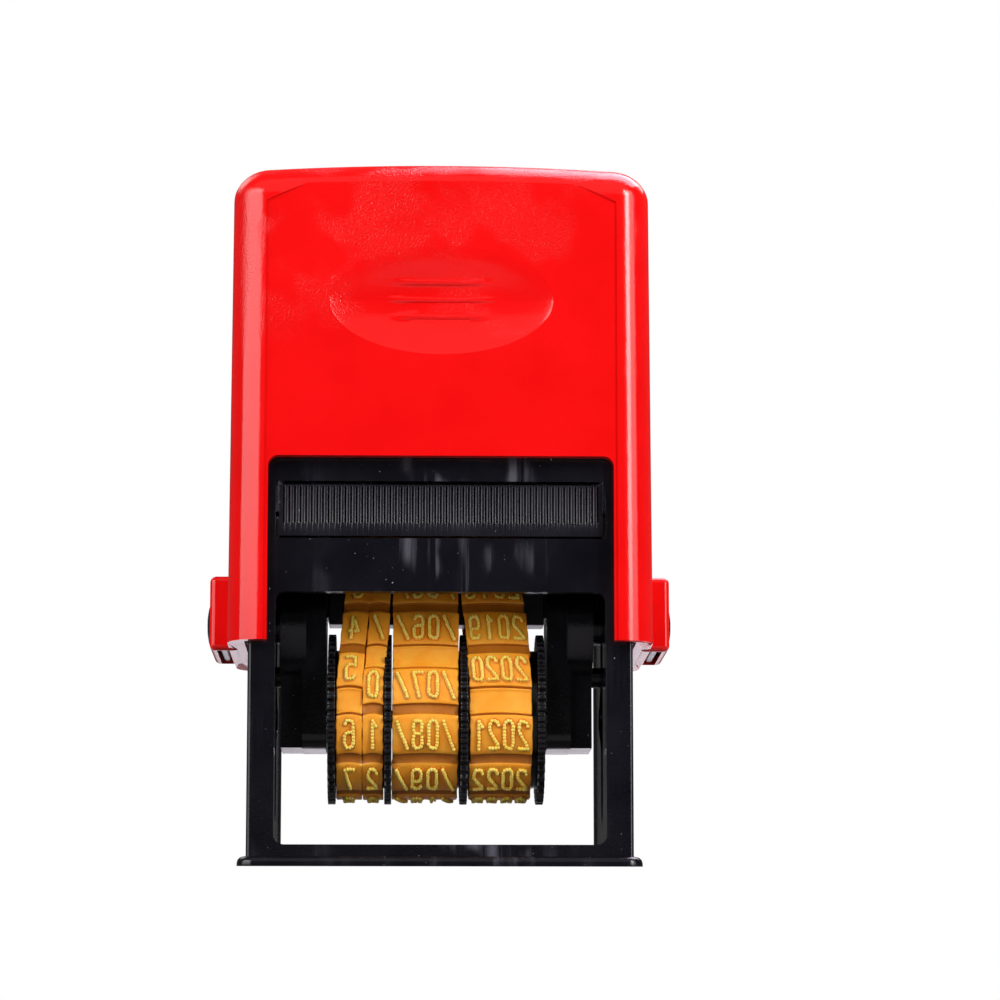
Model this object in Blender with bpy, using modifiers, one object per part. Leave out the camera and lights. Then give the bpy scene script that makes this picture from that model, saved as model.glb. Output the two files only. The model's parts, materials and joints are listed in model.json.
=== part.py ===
"""Self-inking rotary date stamp.

A red cap slides down over a black frame against a spring. The carrier hangs between the
cap's ears on two pins and turns half a turn on the way down, guided by a pin in a cam
groove, so that the type leaves the ink felt and meets the paper under the foot. Four thumb
wheels each drive one rubber type band.

Axes: +X is the user's right, +Y is away from the user, +Z is up. The origin is the centre
of the foot, on the paper. Dimensions below are in millimetres.
"""

import math

import bmesh
import bpy
from mathutils import Matrix, Vector

MM = 0.001
GAP = 0.3
CUT_MARGIN = 1.0
SINK = 0.5
ROUND_STEPS = 32

# Cap
CAP_BOTTOM = 29.8
CAP_TOP = 95.1
CAP_HALF_X = 28.4
CAP_HALF_Y = 19.6
CAP_TAPER = 0.3
CAP_CORNER = 4.8
CAP_TOP_ROUND = 4.5
CAP_CROWN_RADIUS = 368.0
CAP_CAVITY_HALF_X = 26.1
CAP_CAVITY_HALF_Y = 17.4
CAP_CEILING = 91.9
CAP_CAVITY_CORNER = 0.8
CAP_CEILING_ROUND = 0.5
CAP_WINDOW_HALF_X = 23.05
CAP_WINDOW_TOP = 54.5
CAP_WINDOW_CORNER = 1.4
CAP_CROWN_STATIONS = (-18.0, -12.0, -6.0, 0.0, 6.0, 12.0, 18.0)
CAP_CROWN_START = 0.85
PANEL_HALF_X = 23.55
PANEL_DEPTH = 0.25
PANEL_ARCH_RADIUS = 51.4
PANEL_ARCH_TOP = 95.0
DISH_Z = 75.7
DISH_HALF_X = 15.0
DISH_HALF_Z = 7.4
DISH_DEPTH = 1.3
DISH_REACH = 1.06
DISH_STEPS = 6
DISH_BACK = -3.0
DISH_RIBS = ((78.3, 6.2), (76.0, 7.3), (73.7, 6.1))
RIB_HALF = 0.35
RIB_BACK = 17.8
RIB_FACE = 18.75
RIB_ROUND = 0.3

# Ears, one at each lower side edge of the cap
EAR_OUTER = 31.1
EAR_WALL_INNER = 30.1
EAR_HALF_Y = 8.6
EAR_POCKET_HALF_Y = 7.8
EAR_BOTTOM = 29.6
EAR_TOP = 39.7
EAR_POCKET_TOP = 38.3
EAR_ROOT = 27.0
EAR_ROUND = 0.8

# Motion
PIVOT_Z = 33.9
TRAVEL = 24.2
WHEEL_DROP = 12.8
GUIDE_DROP = 7.0
CARRIER_X = -0.4

# Frame
FRAME_HALF_X = 25.6
FRAME_HALF_Y = 17.0
FRAME_INNER_X = 22.3
FRAME_INNER_Y = 15.0
FRAME_TOP = 62.0
FRAME_CORNER = 0.5
FRAME_INNER_CORNER = 1.0
FOOT_HALF_X = 26.8
FOOT_HALF_Y = 18.2
FOOT_THICK = 1.35
FOOT_CORNER = 2.2
FOOT_SLOPE = 0.85
WINDOW_HALF_X = 22.0
WINDOW_BOTTOM = 2.9
WINDOW_TOP = 36.5
WINDOW_CORNER = 1.3
BAY_BOTTOM = 43.7
BAY_TOP = 51.4
BAY_HALF_X = 22.05
BAY_CORNER = 0.4
DECK_BOTTOM = 51.8
DECK_TOP = 53.8
RAIL_INNER_X = 20.4
RAIL_THICK = 0.9
SLOT_HALF = 2.9
GROOVE_HALF = 1.75
GROOVE_FLOOR = 23.7
GROOVE_CLEAR = 0.97
SLOT_INNER = 21.0
SLOT_OUTER = 27.5

# Pins and bearings
PIN_RADIUS = 2.5
PIN_BORE = 2.8
PIN_INNER_END = 18.9
PIN_HEAD_RADIUS = 3.3
PIN_HEAD_RIM = 31.0
PIN_HEAD_TOP = 31.8
EAR_HOLE_RADIUS = 3.6
CAP_HOLE_RADIUS = 2.9
CAP_HOLE_INNER = 24.0
CAP_HOLE_OUTER = 29.2
EAR_HOLE_INNER = 29.3
EAR_HOLE_OUTER = 33.0
PIN_CHAMFER = 0.4
BEARING_INNER = 28.7
BEARING_OUTER = 29.8
BEARING_HALF_Y = 7.5
BEARING_BOTTOM = 29.9
BEARING_TOP = 38.0

# Carrier, distances along X from the carrier's own middle
PLATE_INNER = 15.0
PLATE_OUTER = 18.2
BLOCK_OUTER = 21.2
GUIDE_END = 23.1
GUIDE_RADIUS = 1.4
BLOCK_TOP = -4.0
BLOCK_STEP = 0.1
CHEEK_FOOT_ROUND = 2.0
BORE_END = 25.0
PLATE_HALF_Y = 6.0
PLATE_ABOVE = 7.5
CHEEK_BELOW = 17.2
BOSS_RADIUS = 8.5
BLOCK_HALF_Y = 4.5
PLATEN_HALF_X = 14.7
PLATEN_HALF_Y = 2.3
PLATEN_ABOVE = 7.7
PLATEN_ROUND = 0.6
TONGUE_END = 16.8
TONGUE_HALF_Y = 1.8
TONGUE_LOW = 1.0
TONGUE_HIGH = 5.6

# Thumb wheels: the toothed disc and the drum beside it share one moulding
WHEEL_RADIUS = 11.6
WHEEL_ROOT = 10.9
WHEEL_TEETH = 48
TOOTH_FOOT = 0.36
TOOTH_START = 0.5
TOOTH_END = 0.86
DRUM_RADIUS = 9.4
AXLE_RADIUS = 1.25
WHEEL_BORE = 1.55
AXLE_HALF = 18.6
AXLE_POCKET = 18.9
WHEELS = {
    "units": {"disc": (-15.1, -14.1), "drum": (-14.1, -10.5)},
    "tens": {"disc": (-7.45, -6.5), "drum": (-10.2, -7.45)},
    "month": {"disc": (2.8, 3.8), "drum": (-6.2, 2.8)},
    "year": {"disc": (13.2, 14.2), "drum": (4.1, 13.2)},
}

# Type bands: (left edge, right edge, blocks from the platen down the front to the wide gap)
BANDS = {
    "units": (-13.8, -10.6, 4),
    "tens": (-10.3, -7.75, 3),
    "month": (-6.2, 2.45, 3),
    "year": (4.15, 12.5, 4),
}
BAND_INNER = 9.8
BAND_THICK = 0.7
BAND_NEUTRAL = 10.0
BAND_WIDE_GAP = 1.9
BLOCK_COUNT = 12
BLOCK_GROUP = 6
BLOCK_LENGTH = 4.9
BLOCK_RISE = 0.45
BLOCK_FLANK = 0.12
BLOCK_MARGIN = 0.3

# Ink cartridge
TRAY_HALF_X = 21.6
TRAY_HALF_Y = 17.0
TRAY_BOTTOM = 44.0
TRAY_TOP = 50.9
GRIP_BOTTOM = 45.8
GRIP_TOP = 50.7
GRIP_PITCH = 0.75
GRIP_DEPTH = 0.35
GRIP_FLOOR = 0.24
GRIP_MOUTH = 0.95
GRIP_HALF_X = 21.4
FELT_HALF_X = 19.2
FELT_HALF_Y = 12.2
FELT_BOTTOM = 43.9
FELT_TOP = 48.4
FELT_GAP = 0.4

# Return spring and the two posts that keep it upright
POST_RADIUS = 3.2
FRAME_POST_TOP = 58.0
CAP_POST_BOTTOM = 87.4
SPRING_RADIUS = 4.3
SPRING_WIRE = 0.45
SPRING_TURNS = 9
SPRING_STEPS = 16
SPRING_CLOSED_SHARE = 0.034

RED = (0.80, 0.008, 0.006)
BLACK = (0.012, 0.012, 0.017)
BEARING_BLACK = (0.02, 0.02, 0.022)
OCHRE = (0.62, 0.22, 0.02)
STEEL = (0.55, 0.55, 0.56)
FELT_INK = (0.02, 0.02, 0.03)


def clear_scene():
    """Remove every object, so that the script gives the same model each time."""
    for obj in list(bpy.data.objects):
        bpy.data.objects.remove(obj, do_unlink=True)


def new_collection(name):
    """A collection linked to the scene."""
    collection = bpy.data.collections.new(name)
    bpy.context.scene.collection.children.link(collection)
    return collection


def plastic(name, colour, roughness, metallic=0.0):
    """A Principled material."""
    material = bpy.data.materials.new(name)
    material.use_nodes = True
    shader = material.node_tree.nodes["Principled BSDF"]
    shader.inputs["Base Color"].default_value = (*colour, 1.0)
    shader.inputs["Roughness"].default_value = roughness
    shader.inputs["Metallic"].default_value = metallic
    material.diffuse_color = (*colour, 1.0)
    return material


def place(name, mesh, collection, material=None):
    """An object from a mesh, in one collection."""
    obj = bpy.data.objects.new(name, mesh)
    collection.objects.link(obj)
    if material:
        mesh.materials.append(material)
    return obj


def mesh_from(bm, name):
    """A mesh from a bmesh, with its faces turned outwards."""
    bmesh.ops.recalc_face_normals(bm, faces=bm.faces[:])
    mesh = bpy.data.meshes.new(name)
    bm.to_mesh(mesh)
    bm.free()
    return mesh


def box_mesh(name, low, high, bevel=0.0, segments=2):
    """A block between two corners in millimetres, its edges rounded by bevel."""
    bm = bmesh.new()
    bmesh.ops.create_cube(bm, size=1.0)
    size = Vector(high) - Vector(low)
    middle = (Vector(high) + Vector(low)) / 2
    bmesh.ops.scale(bm, vec=size * MM, verts=bm.verts)
    bmesh.ops.translate(bm, vec=middle * MM, verts=bm.verts)
    if bevel:
        bmesh.ops.bevel(bm, geom=bm.edges[:], offset=bevel * MM, segments=segments,
                        profile=0.5, affect="EDGES", clamp_overlap=True)
    return mesh_from(bm, name)


def rod_mesh(name, radius, start, end, steps=32, centre=(0.0, 0.0)):
    """A cylinder along X between two stations, about the axis at centre (y, z)."""
    bm = bmesh.new()
    turn = Matrix.Rotation(math.pi / 2, 4, "Y")
    bmesh.ops.create_cone(bm, cap_ends=True, segments=steps, radius1=radius * MM,
                          radius2=radius * MM, depth=(end - start) * MM, matrix=turn)
    middle = Vector(((start + end) / 2, centre[0], centre[1])) * MM
    bmesh.ops.translate(bm, vec=middle, verts=bm.verts)
    return mesh_from(bm, name)


def post_mesh(name, radius, bottom, top, steps=24):
    """An upright cylinder on the Z axis."""
    bm = bmesh.new()
    bmesh.ops.create_cone(bm, cap_ends=True, segments=steps, radius1=radius * MM,
                          radius2=radius * MM, depth=(top - bottom) * MM)
    bmesh.ops.translate(bm, vec=Vector((0, 0, (bottom + top) / 2)) * MM, verts=bm.verts)
    return mesh_from(bm, name)


def plate_mesh(name, outlines, start, end, axis):
    """A flat plate: closed outlines in millimetres, as a filled 2D curve between two stations.

    Along X the outline is (y, z), along Y it is (x, z) and along Z it is (x, y). A second
    outline inside the first is a hole.
    """
    curve = bpy.data.curves.new(name, "CURVE")
    curve.dimensions = "2D"
    curve.fill_mode = "BOTH"
    curve.extrude = (end - start) / 2 * MM
    for outline in outlines:
        spline = curve.splines.new("POLY")
        spline.points.add(len(outline) - 1)
        for point, (u, v) in zip(spline.points, outline):
            point.co = (u * MM, v * MM, 0.0, 1.0)
        spline.use_cyclic_u = True
    holder = bpy.data.objects.new(name, curve)
    bpy.context.scene.collection.objects.link(holder)
    graph = bpy.context.evaluated_depsgraph_get()
    mesh = bpy.data.meshes.new_from_object(holder.evaluated_get(graph))
    bpy.data.objects.remove(holder, do_unlink=True)
    middle = (start + end) / 2 * MM
    frames = {
        "X": Matrix(((0, 0, 1, middle), (1, 0, 0, 0), (0, 1, 0, 0), (0, 0, 0, 1))),
        "Y": Matrix(((1, 0, 0, 0), (0, 0, 1, middle), (0, 1, 0, 0), (0, 0, 0, 1))),
        "Z": Matrix(((1, 0, 0, 0), (0, 1, 0, 0), (0, 0, 1, middle), (0, 0, 0, 1))),
    }
    bm = bmesh.new()
    bm.from_mesh(mesh)
    bmesh.ops.remove_doubles(bm, verts=bm.verts, dist=0.00001)
    if len(outlines) == 1:
        bmesh.ops.dissolve_limit(bm, angle_limit=0.001, verts=bm.verts, edges=bm.edges)
    bmesh.ops.transform(bm, matrix=frames[axis], verts=bm.verts)
    bpy.data.meshes.remove(mesh)
    return mesh_from(bm, name)


def arc(centre, radius, first, last, steps):
    """Points on an arc between two angles in degrees, both ends included."""
    points = []
    for i in range(steps + 1):
        angle = math.radians(first + (last - first) * i / steps)
        points.append((centre[0] + radius * math.cos(angle), centre[1] + radius * math.sin(angle)))
    return points


def rounded_rectangle(low, high, radius, steps=4):
    """A rectangle's outline with round corners, anticlockwise."""
    corners = (
        ((high[0] - radius, high[1] - radius), 0),
        ((low[0] + radius, high[1] - radius), 90),
        ((low[0] + radius, low[1] + radius), 180),
        ((high[0] - radius, low[1] + radius), 270),
    )
    outline = []
    for centre, start in corners:
        outline += arc(centre, radius, start, start + 90, steps)
    return outline


def cut(obj, cutter_mesh, cutters, operation="DIFFERENCE"):
    """Add one Boolean to obj, with its cutter kept as a wire guide."""
    name = f"{obj.name}_{operation.lower()}_{len(obj.modifiers):02d}"
    cutter = place(name, cutter_mesh, cutters)
    cutter.hide_render = True
    cutter.display_type = "WIRE"
    modifier = obj.modifiers.new(name, "BOOLEAN")
    modifier.operation = operation
    modifier.solver = "EXACT"
    modifier.object = cutter


def join(obj, part_mesh, cutters):
    """Add one Boolean union to obj."""
    cut(obj, part_mesh, cutters, "UNION")


def attach(obj, parent):
    """Parent an object, and the cutters that shape it, to an empty on its joint's axis."""
    obj.parent = parent
    for modifier in obj.modifiers:
        if modifier.type == "BOOLEAN":
            modifier.object.parent = parent


def shade(obj, angle=35.0):
    """Smooth shading with sharp edges above an angle in degrees."""
    obj.data.shade_smooth()
    obj.data.set_sharp_from_angle(angle=math.radians(angle))


def cap_body_mesh():
    """The cap's outer form: a tapered block with round uprights and a crowned, rounded top."""
    bm = bmesh.new()
    bmesh.ops.create_cube(bm, size=1.0)
    height = CAP_TOP - CAP_BOTTOM
    bmesh.ops.scale(bm, vec=Vector((2 * CAP_HALF_X, 2 * CAP_HALF_Y, height)) * MM, verts=bm.verts)
    lift = Vector((0, 0, (CAP_TOP + CAP_BOTTOM) / 2)) * MM
    bmesh.ops.translate(bm, vec=lift, verts=bm.verts)
    for station in CAP_CROWN_STATIONS:
        bmesh.ops.bisect_plane(bm, geom=bm.verts[:] + bm.edges[:] + bm.faces[:],
                               plane_co=(station * MM, 0, 0), plane_no=(1, 0, 0))
    side = (CAP_HALF_X - 0.01) * MM
    uprights = [e for e in bm.edges
                if all(abs(v.co.x) > side for v in e.verts)
                and abs(e.verts[0].co.z - e.verts[1].co.z) > height * MM / 2]
    bmesh.ops.bevel(bm, geom=uprights, offset=CAP_CORNER * MM, segments=6, profile=0.5,
                    affect="EDGES")
    rim = [e for e in bm.edges
           if all(v.co.z > (CAP_TOP - 0.01) * MM for v in e.verts) and not top_inside(e)]
    bmesh.ops.bevel(bm, geom=rim, offset=CAP_TOP_ROUND * MM, segments=5, profile=0.5,
                    affect="EDGES")
    for vert in bm.verts:
        climb = (vert.co.z / MM - CAP_BOTTOM) / height
        vert.co.x *= 1 - CAP_TAPER * climb / CAP_HALF_X
        vert.co.y *= 1 - CAP_TAPER * climb / CAP_HALF_Y
        share = max(0.0, (climb - CAP_CROWN_START) / (1 - CAP_CROWN_START))
        vert.co.z -= min(1.0, share) * (vert.co.x / MM) ** 2 / (2 * CAP_CROWN_RADIUS) * MM
    return mesh_from(bm, "cap_body")


def top_inside(edge):
    """True for an edge that crosses the flat top instead of bounding it."""
    return all(face.normal.z > 0.9 for face in edge.link_faces)


def panel_mesh(side):
    """The shallow sunk panel in the cap's front or back face, with an arched top."""
    foot = CAP_BOTTOM - CUT_MARGIN
    half_angle = math.degrees(math.asin(PANEL_HALF_X / PANEL_ARCH_RADIUS))
    outline = [(-PANEL_HALF_X, foot), (PANEL_HALF_X, foot)]
    outline += arc((0.0, PANEL_ARCH_TOP - PANEL_ARCH_RADIUS), PANEL_ARCH_RADIUS,
                   90 - half_angle, 90 + half_angle, 12)
    face = CAP_HALF_Y - CAP_TAPER / 2 - PANEL_DEPTH
    mesh = plate_mesh("panel", [outline], face, CAP_HALF_Y + CUT_MARGIN, "Y")
    for vert in mesh.vertices:
        lean = CAP_TAPER * ((vert.co.z / MM - CAP_BOTTOM) / (CAP_TOP - CAP_BOTTOM) - 0.5)
        vert.co.y = side * (vert.co.y - lean * MM)
    return flipped(mesh) if side < 0 else mesh


def flipped(mesh):
    """The same mesh with its faces turned outwards again after a mirror."""
    bm = bmesh.new()
    bm.from_mesh(mesh)
    bmesh.ops.recalc_face_normals(bm, faces=bm.faces[:])
    bm.to_mesh(mesh)
    bm.free()
    return mesh


def dish_mesh(side):
    """The lens that hollows the thumb dish, from a turned profile with a Screw modifier."""
    radius = (DISH_HALF_X ** 2 + DISH_DEPTH ** 2) / (2 * DISH_DEPTH)
    reach = DISH_HALF_X * DISH_REACH
    bm = bmesh.new()
    previous = None
    profile = []
    for i in range(DISH_STEPS + 1):
        r = reach * i / DISH_STEPS
        profile.append((r, DISH_DEPTH - radius + math.sqrt(radius ** 2 - r ** 2)))
    profile.append((reach, DISH_BACK))
    profile.append((0.0, DISH_BACK))
    for r, z in profile:
        vert = bm.verts.new((r * MM, 0.0, z * MM))
        if previous:
            bm.edges.new((previous, vert))
        previous = vert
    mesh = bpy.data.meshes.new("dish_profile")
    bm.to_mesh(mesh)
    bm.free()
    holder = bpy.data.objects.new("dish_profile", mesh)
    bpy.context.scene.collection.objects.link(holder)
    screw = holder.modifiers.new("turn", "SCREW")
    screw.axis = "Z"
    screw.steps = 48
    screw.render_steps = 48
    screw.use_merge_vertices = True
    screw.merge_threshold = 0.00001
    graph = bpy.context.evaluated_depsgraph_get()
    turned = bpy.data.meshes.new_from_object(holder.evaluated_get(graph))
    bpy.data.objects.remove(holder, do_unlink=True)
    face = CAP_HALF_Y - PANEL_DEPTH - CAP_TAPER * (DISH_Z - CAP_BOTTOM) / (CAP_TOP - CAP_BOTTOM)
    squeeze = DISH_HALF_Z / DISH_HALF_X
    for vert in turned.vertices:
        x, y, z = vert.co
        vert.co = (x, side * (face * MM - z), DISH_Z * MM + y * squeeze)
    return flipped(turned)


def make_cap(collection, cutters, material):
    """The pressing cap: a thin shell, open below, with ears, a dish and a window each side."""
    cap = place("cap_shell", cap_body_mesh(), collection, material)
    for side in (-1, 1):
        cut(cap, panel_mesh(side), cutters)
        cut(cap, dish_mesh(side), cutters)
        for z, half in DISH_RIBS:
            rib = box_mesh("dish_rib", (-half, RIB_BACK, z - RIB_HALF),
                           (half, RIB_FACE, z + RIB_HALF), RIB_ROUND)
            if side < 0:
                rib.transform(Matrix.Diagonal((1, -1, 1, 1)))
                flipped(rib)
            join(cap, rib, cutters)
        low, high = sorted((side * EAR_ROOT, side * EAR_OUTER))
        ear = box_mesh("ear", (low, -EAR_HALF_Y, EAR_BOTTOM), (high, EAR_HALF_Y, EAR_TOP),
                       EAR_ROUND)
        join(cap, ear, cutters)
    cavity = plate_mesh(
        "cap_cavity",
        [rounded_rectangle((-CAP_CAVITY_HALF_X, -CAP_CAVITY_HALF_Y),
                           (CAP_CAVITY_HALF_X, CAP_CAVITY_HALF_Y), CAP_CAVITY_CORNER)],
        CAP_BOTTOM - CUT_MARGIN, CAP_CEILING, "Z")
    cut(cap, round_top(cavity, CAP_CEILING, CAP_CEILING_ROUND), cutters)
    window = rounded_rectangle((-CAP_WINDOW_HALF_X, CAP_BOTTOM - 2 * CAP_WINDOW_CORNER),
                               (CAP_WINDOW_HALF_X, CAP_WINDOW_TOP), CAP_WINDOW_CORNER)
    through = CAP_HALF_Y + CUT_MARGIN
    cut(cap, plate_mesh("cap_window", [window], -through, through, "Y"), cutters)
    for side in (-1, 1):
        low, high = sorted((side * CAP_HALF_X, side * EAR_WALL_INNER))
        pocket = box_mesh("ear_pocket", (low, -EAR_POCKET_HALF_Y, EAR_BOTTOM - CUT_MARGIN),
                          (high, EAR_POCKET_HALF_Y, EAR_POCKET_TOP))
        cut(cap, pocket, cutters)
        low, high = sorted((side * CAP_HOLE_INNER, side * CAP_HOLE_OUTER))
        cut(cap, rod_mesh("pin_hole", CAP_HOLE_RADIUS, low, high, ROUND_STEPS, (0, PIVOT_Z)), cutters)
        low, high = sorted((side * EAR_HOLE_INNER, side * EAR_HOLE_OUTER))
        cut(cap, rod_mesh("ear_hole", EAR_HOLE_RADIUS, low, high, ROUND_STEPS, (0, PIVOT_Z)), cutters)
    post = post_mesh("cap_post", POST_RADIUS, CAP_POST_BOTTOM, CAP_CEILING + SINK)
    join(cap, post, cutters)
    shade(cap)
    return cap


def round_top(mesh, level, radius):
    """Round the edges of a prism's top face."""
    bm = bmesh.new()
    bm.from_mesh(mesh)
    rim = [e for e in bm.edges
           if all(v.co.z > (level - 0.01) * MM for v in e.verts)
           and any(abs(f.normal.z) < 0.5 for f in e.link_faces)]
    bmesh.ops.bevel(bm, geom=rim, offset=radius * MM, segments=3, profile=0.5, affect="EDGES")
    bmesh.ops.recalc_face_normals(bm, faces=bm.faces[:])
    bm.to_mesh(mesh)
    bm.free()
    return mesh


def guide_path(steps):
    """Centre line of the cam groove: where the guide pin goes as the carrier turns over.

    The points crowd towards the middle, where the pin almost stands still and turns back.
    """
    path = []
    for i in range(steps + 1):
        away = 2 * i / steps - 1
        share = 0.5 + 0.5 * away * abs(away) ** 0.6
        turn = math.pi * share
        y = GUIDE_DROP * math.sin(turn)
        z = PIVOT_Z - TRAVEL * share - GUIDE_DROP * math.cos(turn)
        path.append((y, z))
    return path


def groove_outline(steps=28):
    """The groove's outline: the guide path widened to both sides, less what it overlaps."""
    path = guide_path(steps)
    sides = ([], [])
    for i, (y, z) in enumerate(path):
        before = path[max(0, i - 1)]
        after = path[min(steps, i + 1)]
        along = Vector((after[0] - before[0], after[1] - before[1])).normalized()
        for side, points in zip((-1, 1), sides):
            point = (y + side * along.y * GROOVE_HALF, z - side * along.x * GROOVE_HALF)
            nearest = min(math.dist(point, other) for other in path)
            if nearest > GROOVE_CLEAR * GROOVE_HALF:
                points.append(point)
    return sides[0] + sides[1][::-1]


def make_frame(collection, cutters, material):
    """The base frame: a four-sided tube with a foot, windows, a pad bay, slots and cam grooves."""
    outer = rounded_rectangle((-FRAME_HALF_X, -FRAME_HALF_Y), (FRAME_HALF_X, FRAME_HALF_Y),
                              FRAME_CORNER, 3)
    frame = place("base_frame", plate_mesh("frame", [outer], FOOT_THICK / 4, FRAME_TOP, "Z"),
                  collection, material)
    foot = rounded_rectangle((-FOOT_HALF_X, -FOOT_HALF_Y), (FOOT_HALF_X, FOOT_HALF_Y),
                             FOOT_CORNER)
    join(frame, foot_mesh(foot), cutters)
    inner = rounded_rectangle((-FRAME_INNER_X, -FRAME_INNER_Y), (FRAME_INNER_X, FRAME_INNER_Y),
                              FRAME_INNER_CORNER, 3)
    cut(frame, plate_mesh("lower_well", [inner], -CUT_MARGIN, DECK_BOTTOM, "Z"), cutters)
    cut(frame, plate_mesh("upper_well", [inner], DECK_TOP, FRAME_TOP + CUT_MARGIN, "Z"), cutters)
    for side in (-1, 1):
        low, high = sorted((side * RAIL_INNER_X, side * (FRAME_INNER_X + SINK)))
        rail = box_mesh("pad_rail", (low, -FRAME_INNER_Y - SINK, BAY_BOTTOM - RAIL_THICK),
                        (high, FRAME_INNER_Y + SINK, BAY_BOTTOM))
        join(frame, rail, cutters)
    post = post_mesh("frame_post", POST_RADIUS, DECK_TOP - SINK, FRAME_POST_TOP)
    join(frame, post, cutters)
    window = rounded_rectangle((-WINDOW_HALF_X, WINDOW_BOTTOM), (WINDOW_HALF_X, WINDOW_TOP),
                               WINDOW_CORNER)
    through = FOOT_HALF_Y + CUT_MARGIN
    cut(frame, plate_mesh("window", [window], -through, through, "Y"), cutters)
    bay = rounded_rectangle((-BAY_HALF_X, BAY_BOTTOM - 0.02), (BAY_HALF_X, BAY_TOP), BAY_CORNER,
                            2)
    cut(frame, plate_mesh("pad_bay", [bay], -through, through, "Y"), cutters)
    low_end = PIVOT_Z - TRAVEL
    stadium = arc((0, PIVOT_Z), SLOT_HALF, 0, 180, 12) + arc((0, low_end), SLOT_HALF, 180, 360, 12)
    for side in (-1, 1):
        low, high = sorted((side * SLOT_INNER, side * SLOT_OUTER))
        cut(frame, plate_mesh("pin_slot", [stadium], low, high, "X"), cutters)
        low, high = sorted((side * SLOT_INNER, side * GROOVE_FLOOR))
        cut(frame, plate_mesh("cam_groove", [groove_outline()], low, high, "X"), cutters)
    shade(frame)
    return frame


def foot_mesh(outline):
    """The foot flange, its upper side sloping down to a thin rim."""
    mesh = plate_mesh("foot", [outline], 0.0, FOOT_THICK, "Z")
    return round_top(mesh, FOOT_THICK, FOOT_SLOPE)


def make_bearing(side, collection, cutters, material):
    """A bearing block in an ear's pocket, bored for the pivot pin."""
    name = "bearing_left" if side < 0 else "bearing_right"
    low, high = sorted((side * BEARING_INNER, side * BEARING_OUTER))
    block = box_mesh(name, (low, -BEARING_HALF_Y, BEARING_BOTTOM),
                     (high, BEARING_HALF_Y, BEARING_TOP), 0.25, 1)
    bearing = place(name, block, collection, material)
    bore = rod_mesh("bearing_bore", PIN_BORE, low - CUT_MARGIN, high + CUT_MARGIN, ROUND_STEPS,
                    (0, PIVOT_Z))
    cut(bearing, bore, cutters)
    shade(bearing)
    return bearing


def make_pin(side, collection, material, parent):
    """A pivot pin with a domed head, turned about the pivot axis with a Screw modifier."""
    name = "pivot_pin_left" if side < 0 else "pivot_pin_right"
    dome_steps = 4
    profile = []
    for i in range(dome_steps + 1):
        angle = math.pi / 2 * i / dome_steps
        profile.append((PIN_HEAD_RADIUS * math.sin(angle),
                        PIN_HEAD_RIM + (PIN_HEAD_TOP - PIN_HEAD_RIM) * math.cos(angle)))
    profile += [(PIN_HEAD_RADIUS, EAR_WALL_INNER), (PIN_RADIUS, EAR_WALL_INNER),
                (PIN_RADIUS, PIN_INNER_END + PIN_CHAMFER),
                (PIN_RADIUS - PIN_CHAMFER, PIN_INNER_END),
                (0.0, PIN_INNER_END)]
    bm = bmesh.new()
    previous = None
    for r, z in profile:
        vert = bm.verts.new((r * MM, 0.0, z * MM))
        if previous:
            bm.edges.new((previous, vert))
        previous = vert
    mesh = bpy.data.meshes.new(name)
    bm.to_mesh(mesh)
    bm.free()
    pin = place(name, mesh, collection, material)
    screw = pin.modifiers.new("turn", "SCREW")
    screw.axis = "Z"
    screw.steps = ROUND_STEPS
    screw.render_steps = ROUND_STEPS
    screw.use_merge_vertices = True
    screw.merge_threshold = 0.00001
    attach(pin, parent)
    pin.rotation_euler = (0, side * math.pi / 2, 0)
    shade(pin)
    return pin


def cheek_outline():
    """The cheek plate's side outline about the pivot: a straight plate with a rounded head."""
    head = arc((0.0, PLATE_ABOVE - PLATE_HALF_Y), PLATE_HALF_Y, 0, 180, 12)
    side = PLATE_HALF_Y - CHEEK_FOOT_ROUND
    low = -CHEEK_BELOW + CHEEK_FOOT_ROUND
    foot = arc((-side, low), CHEEK_FOOT_ROUND, 180, 270, 3)
    foot += arc((side, low), CHEEK_FOOT_ROUND, 270, 360, 3)
    return head + foot


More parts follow.
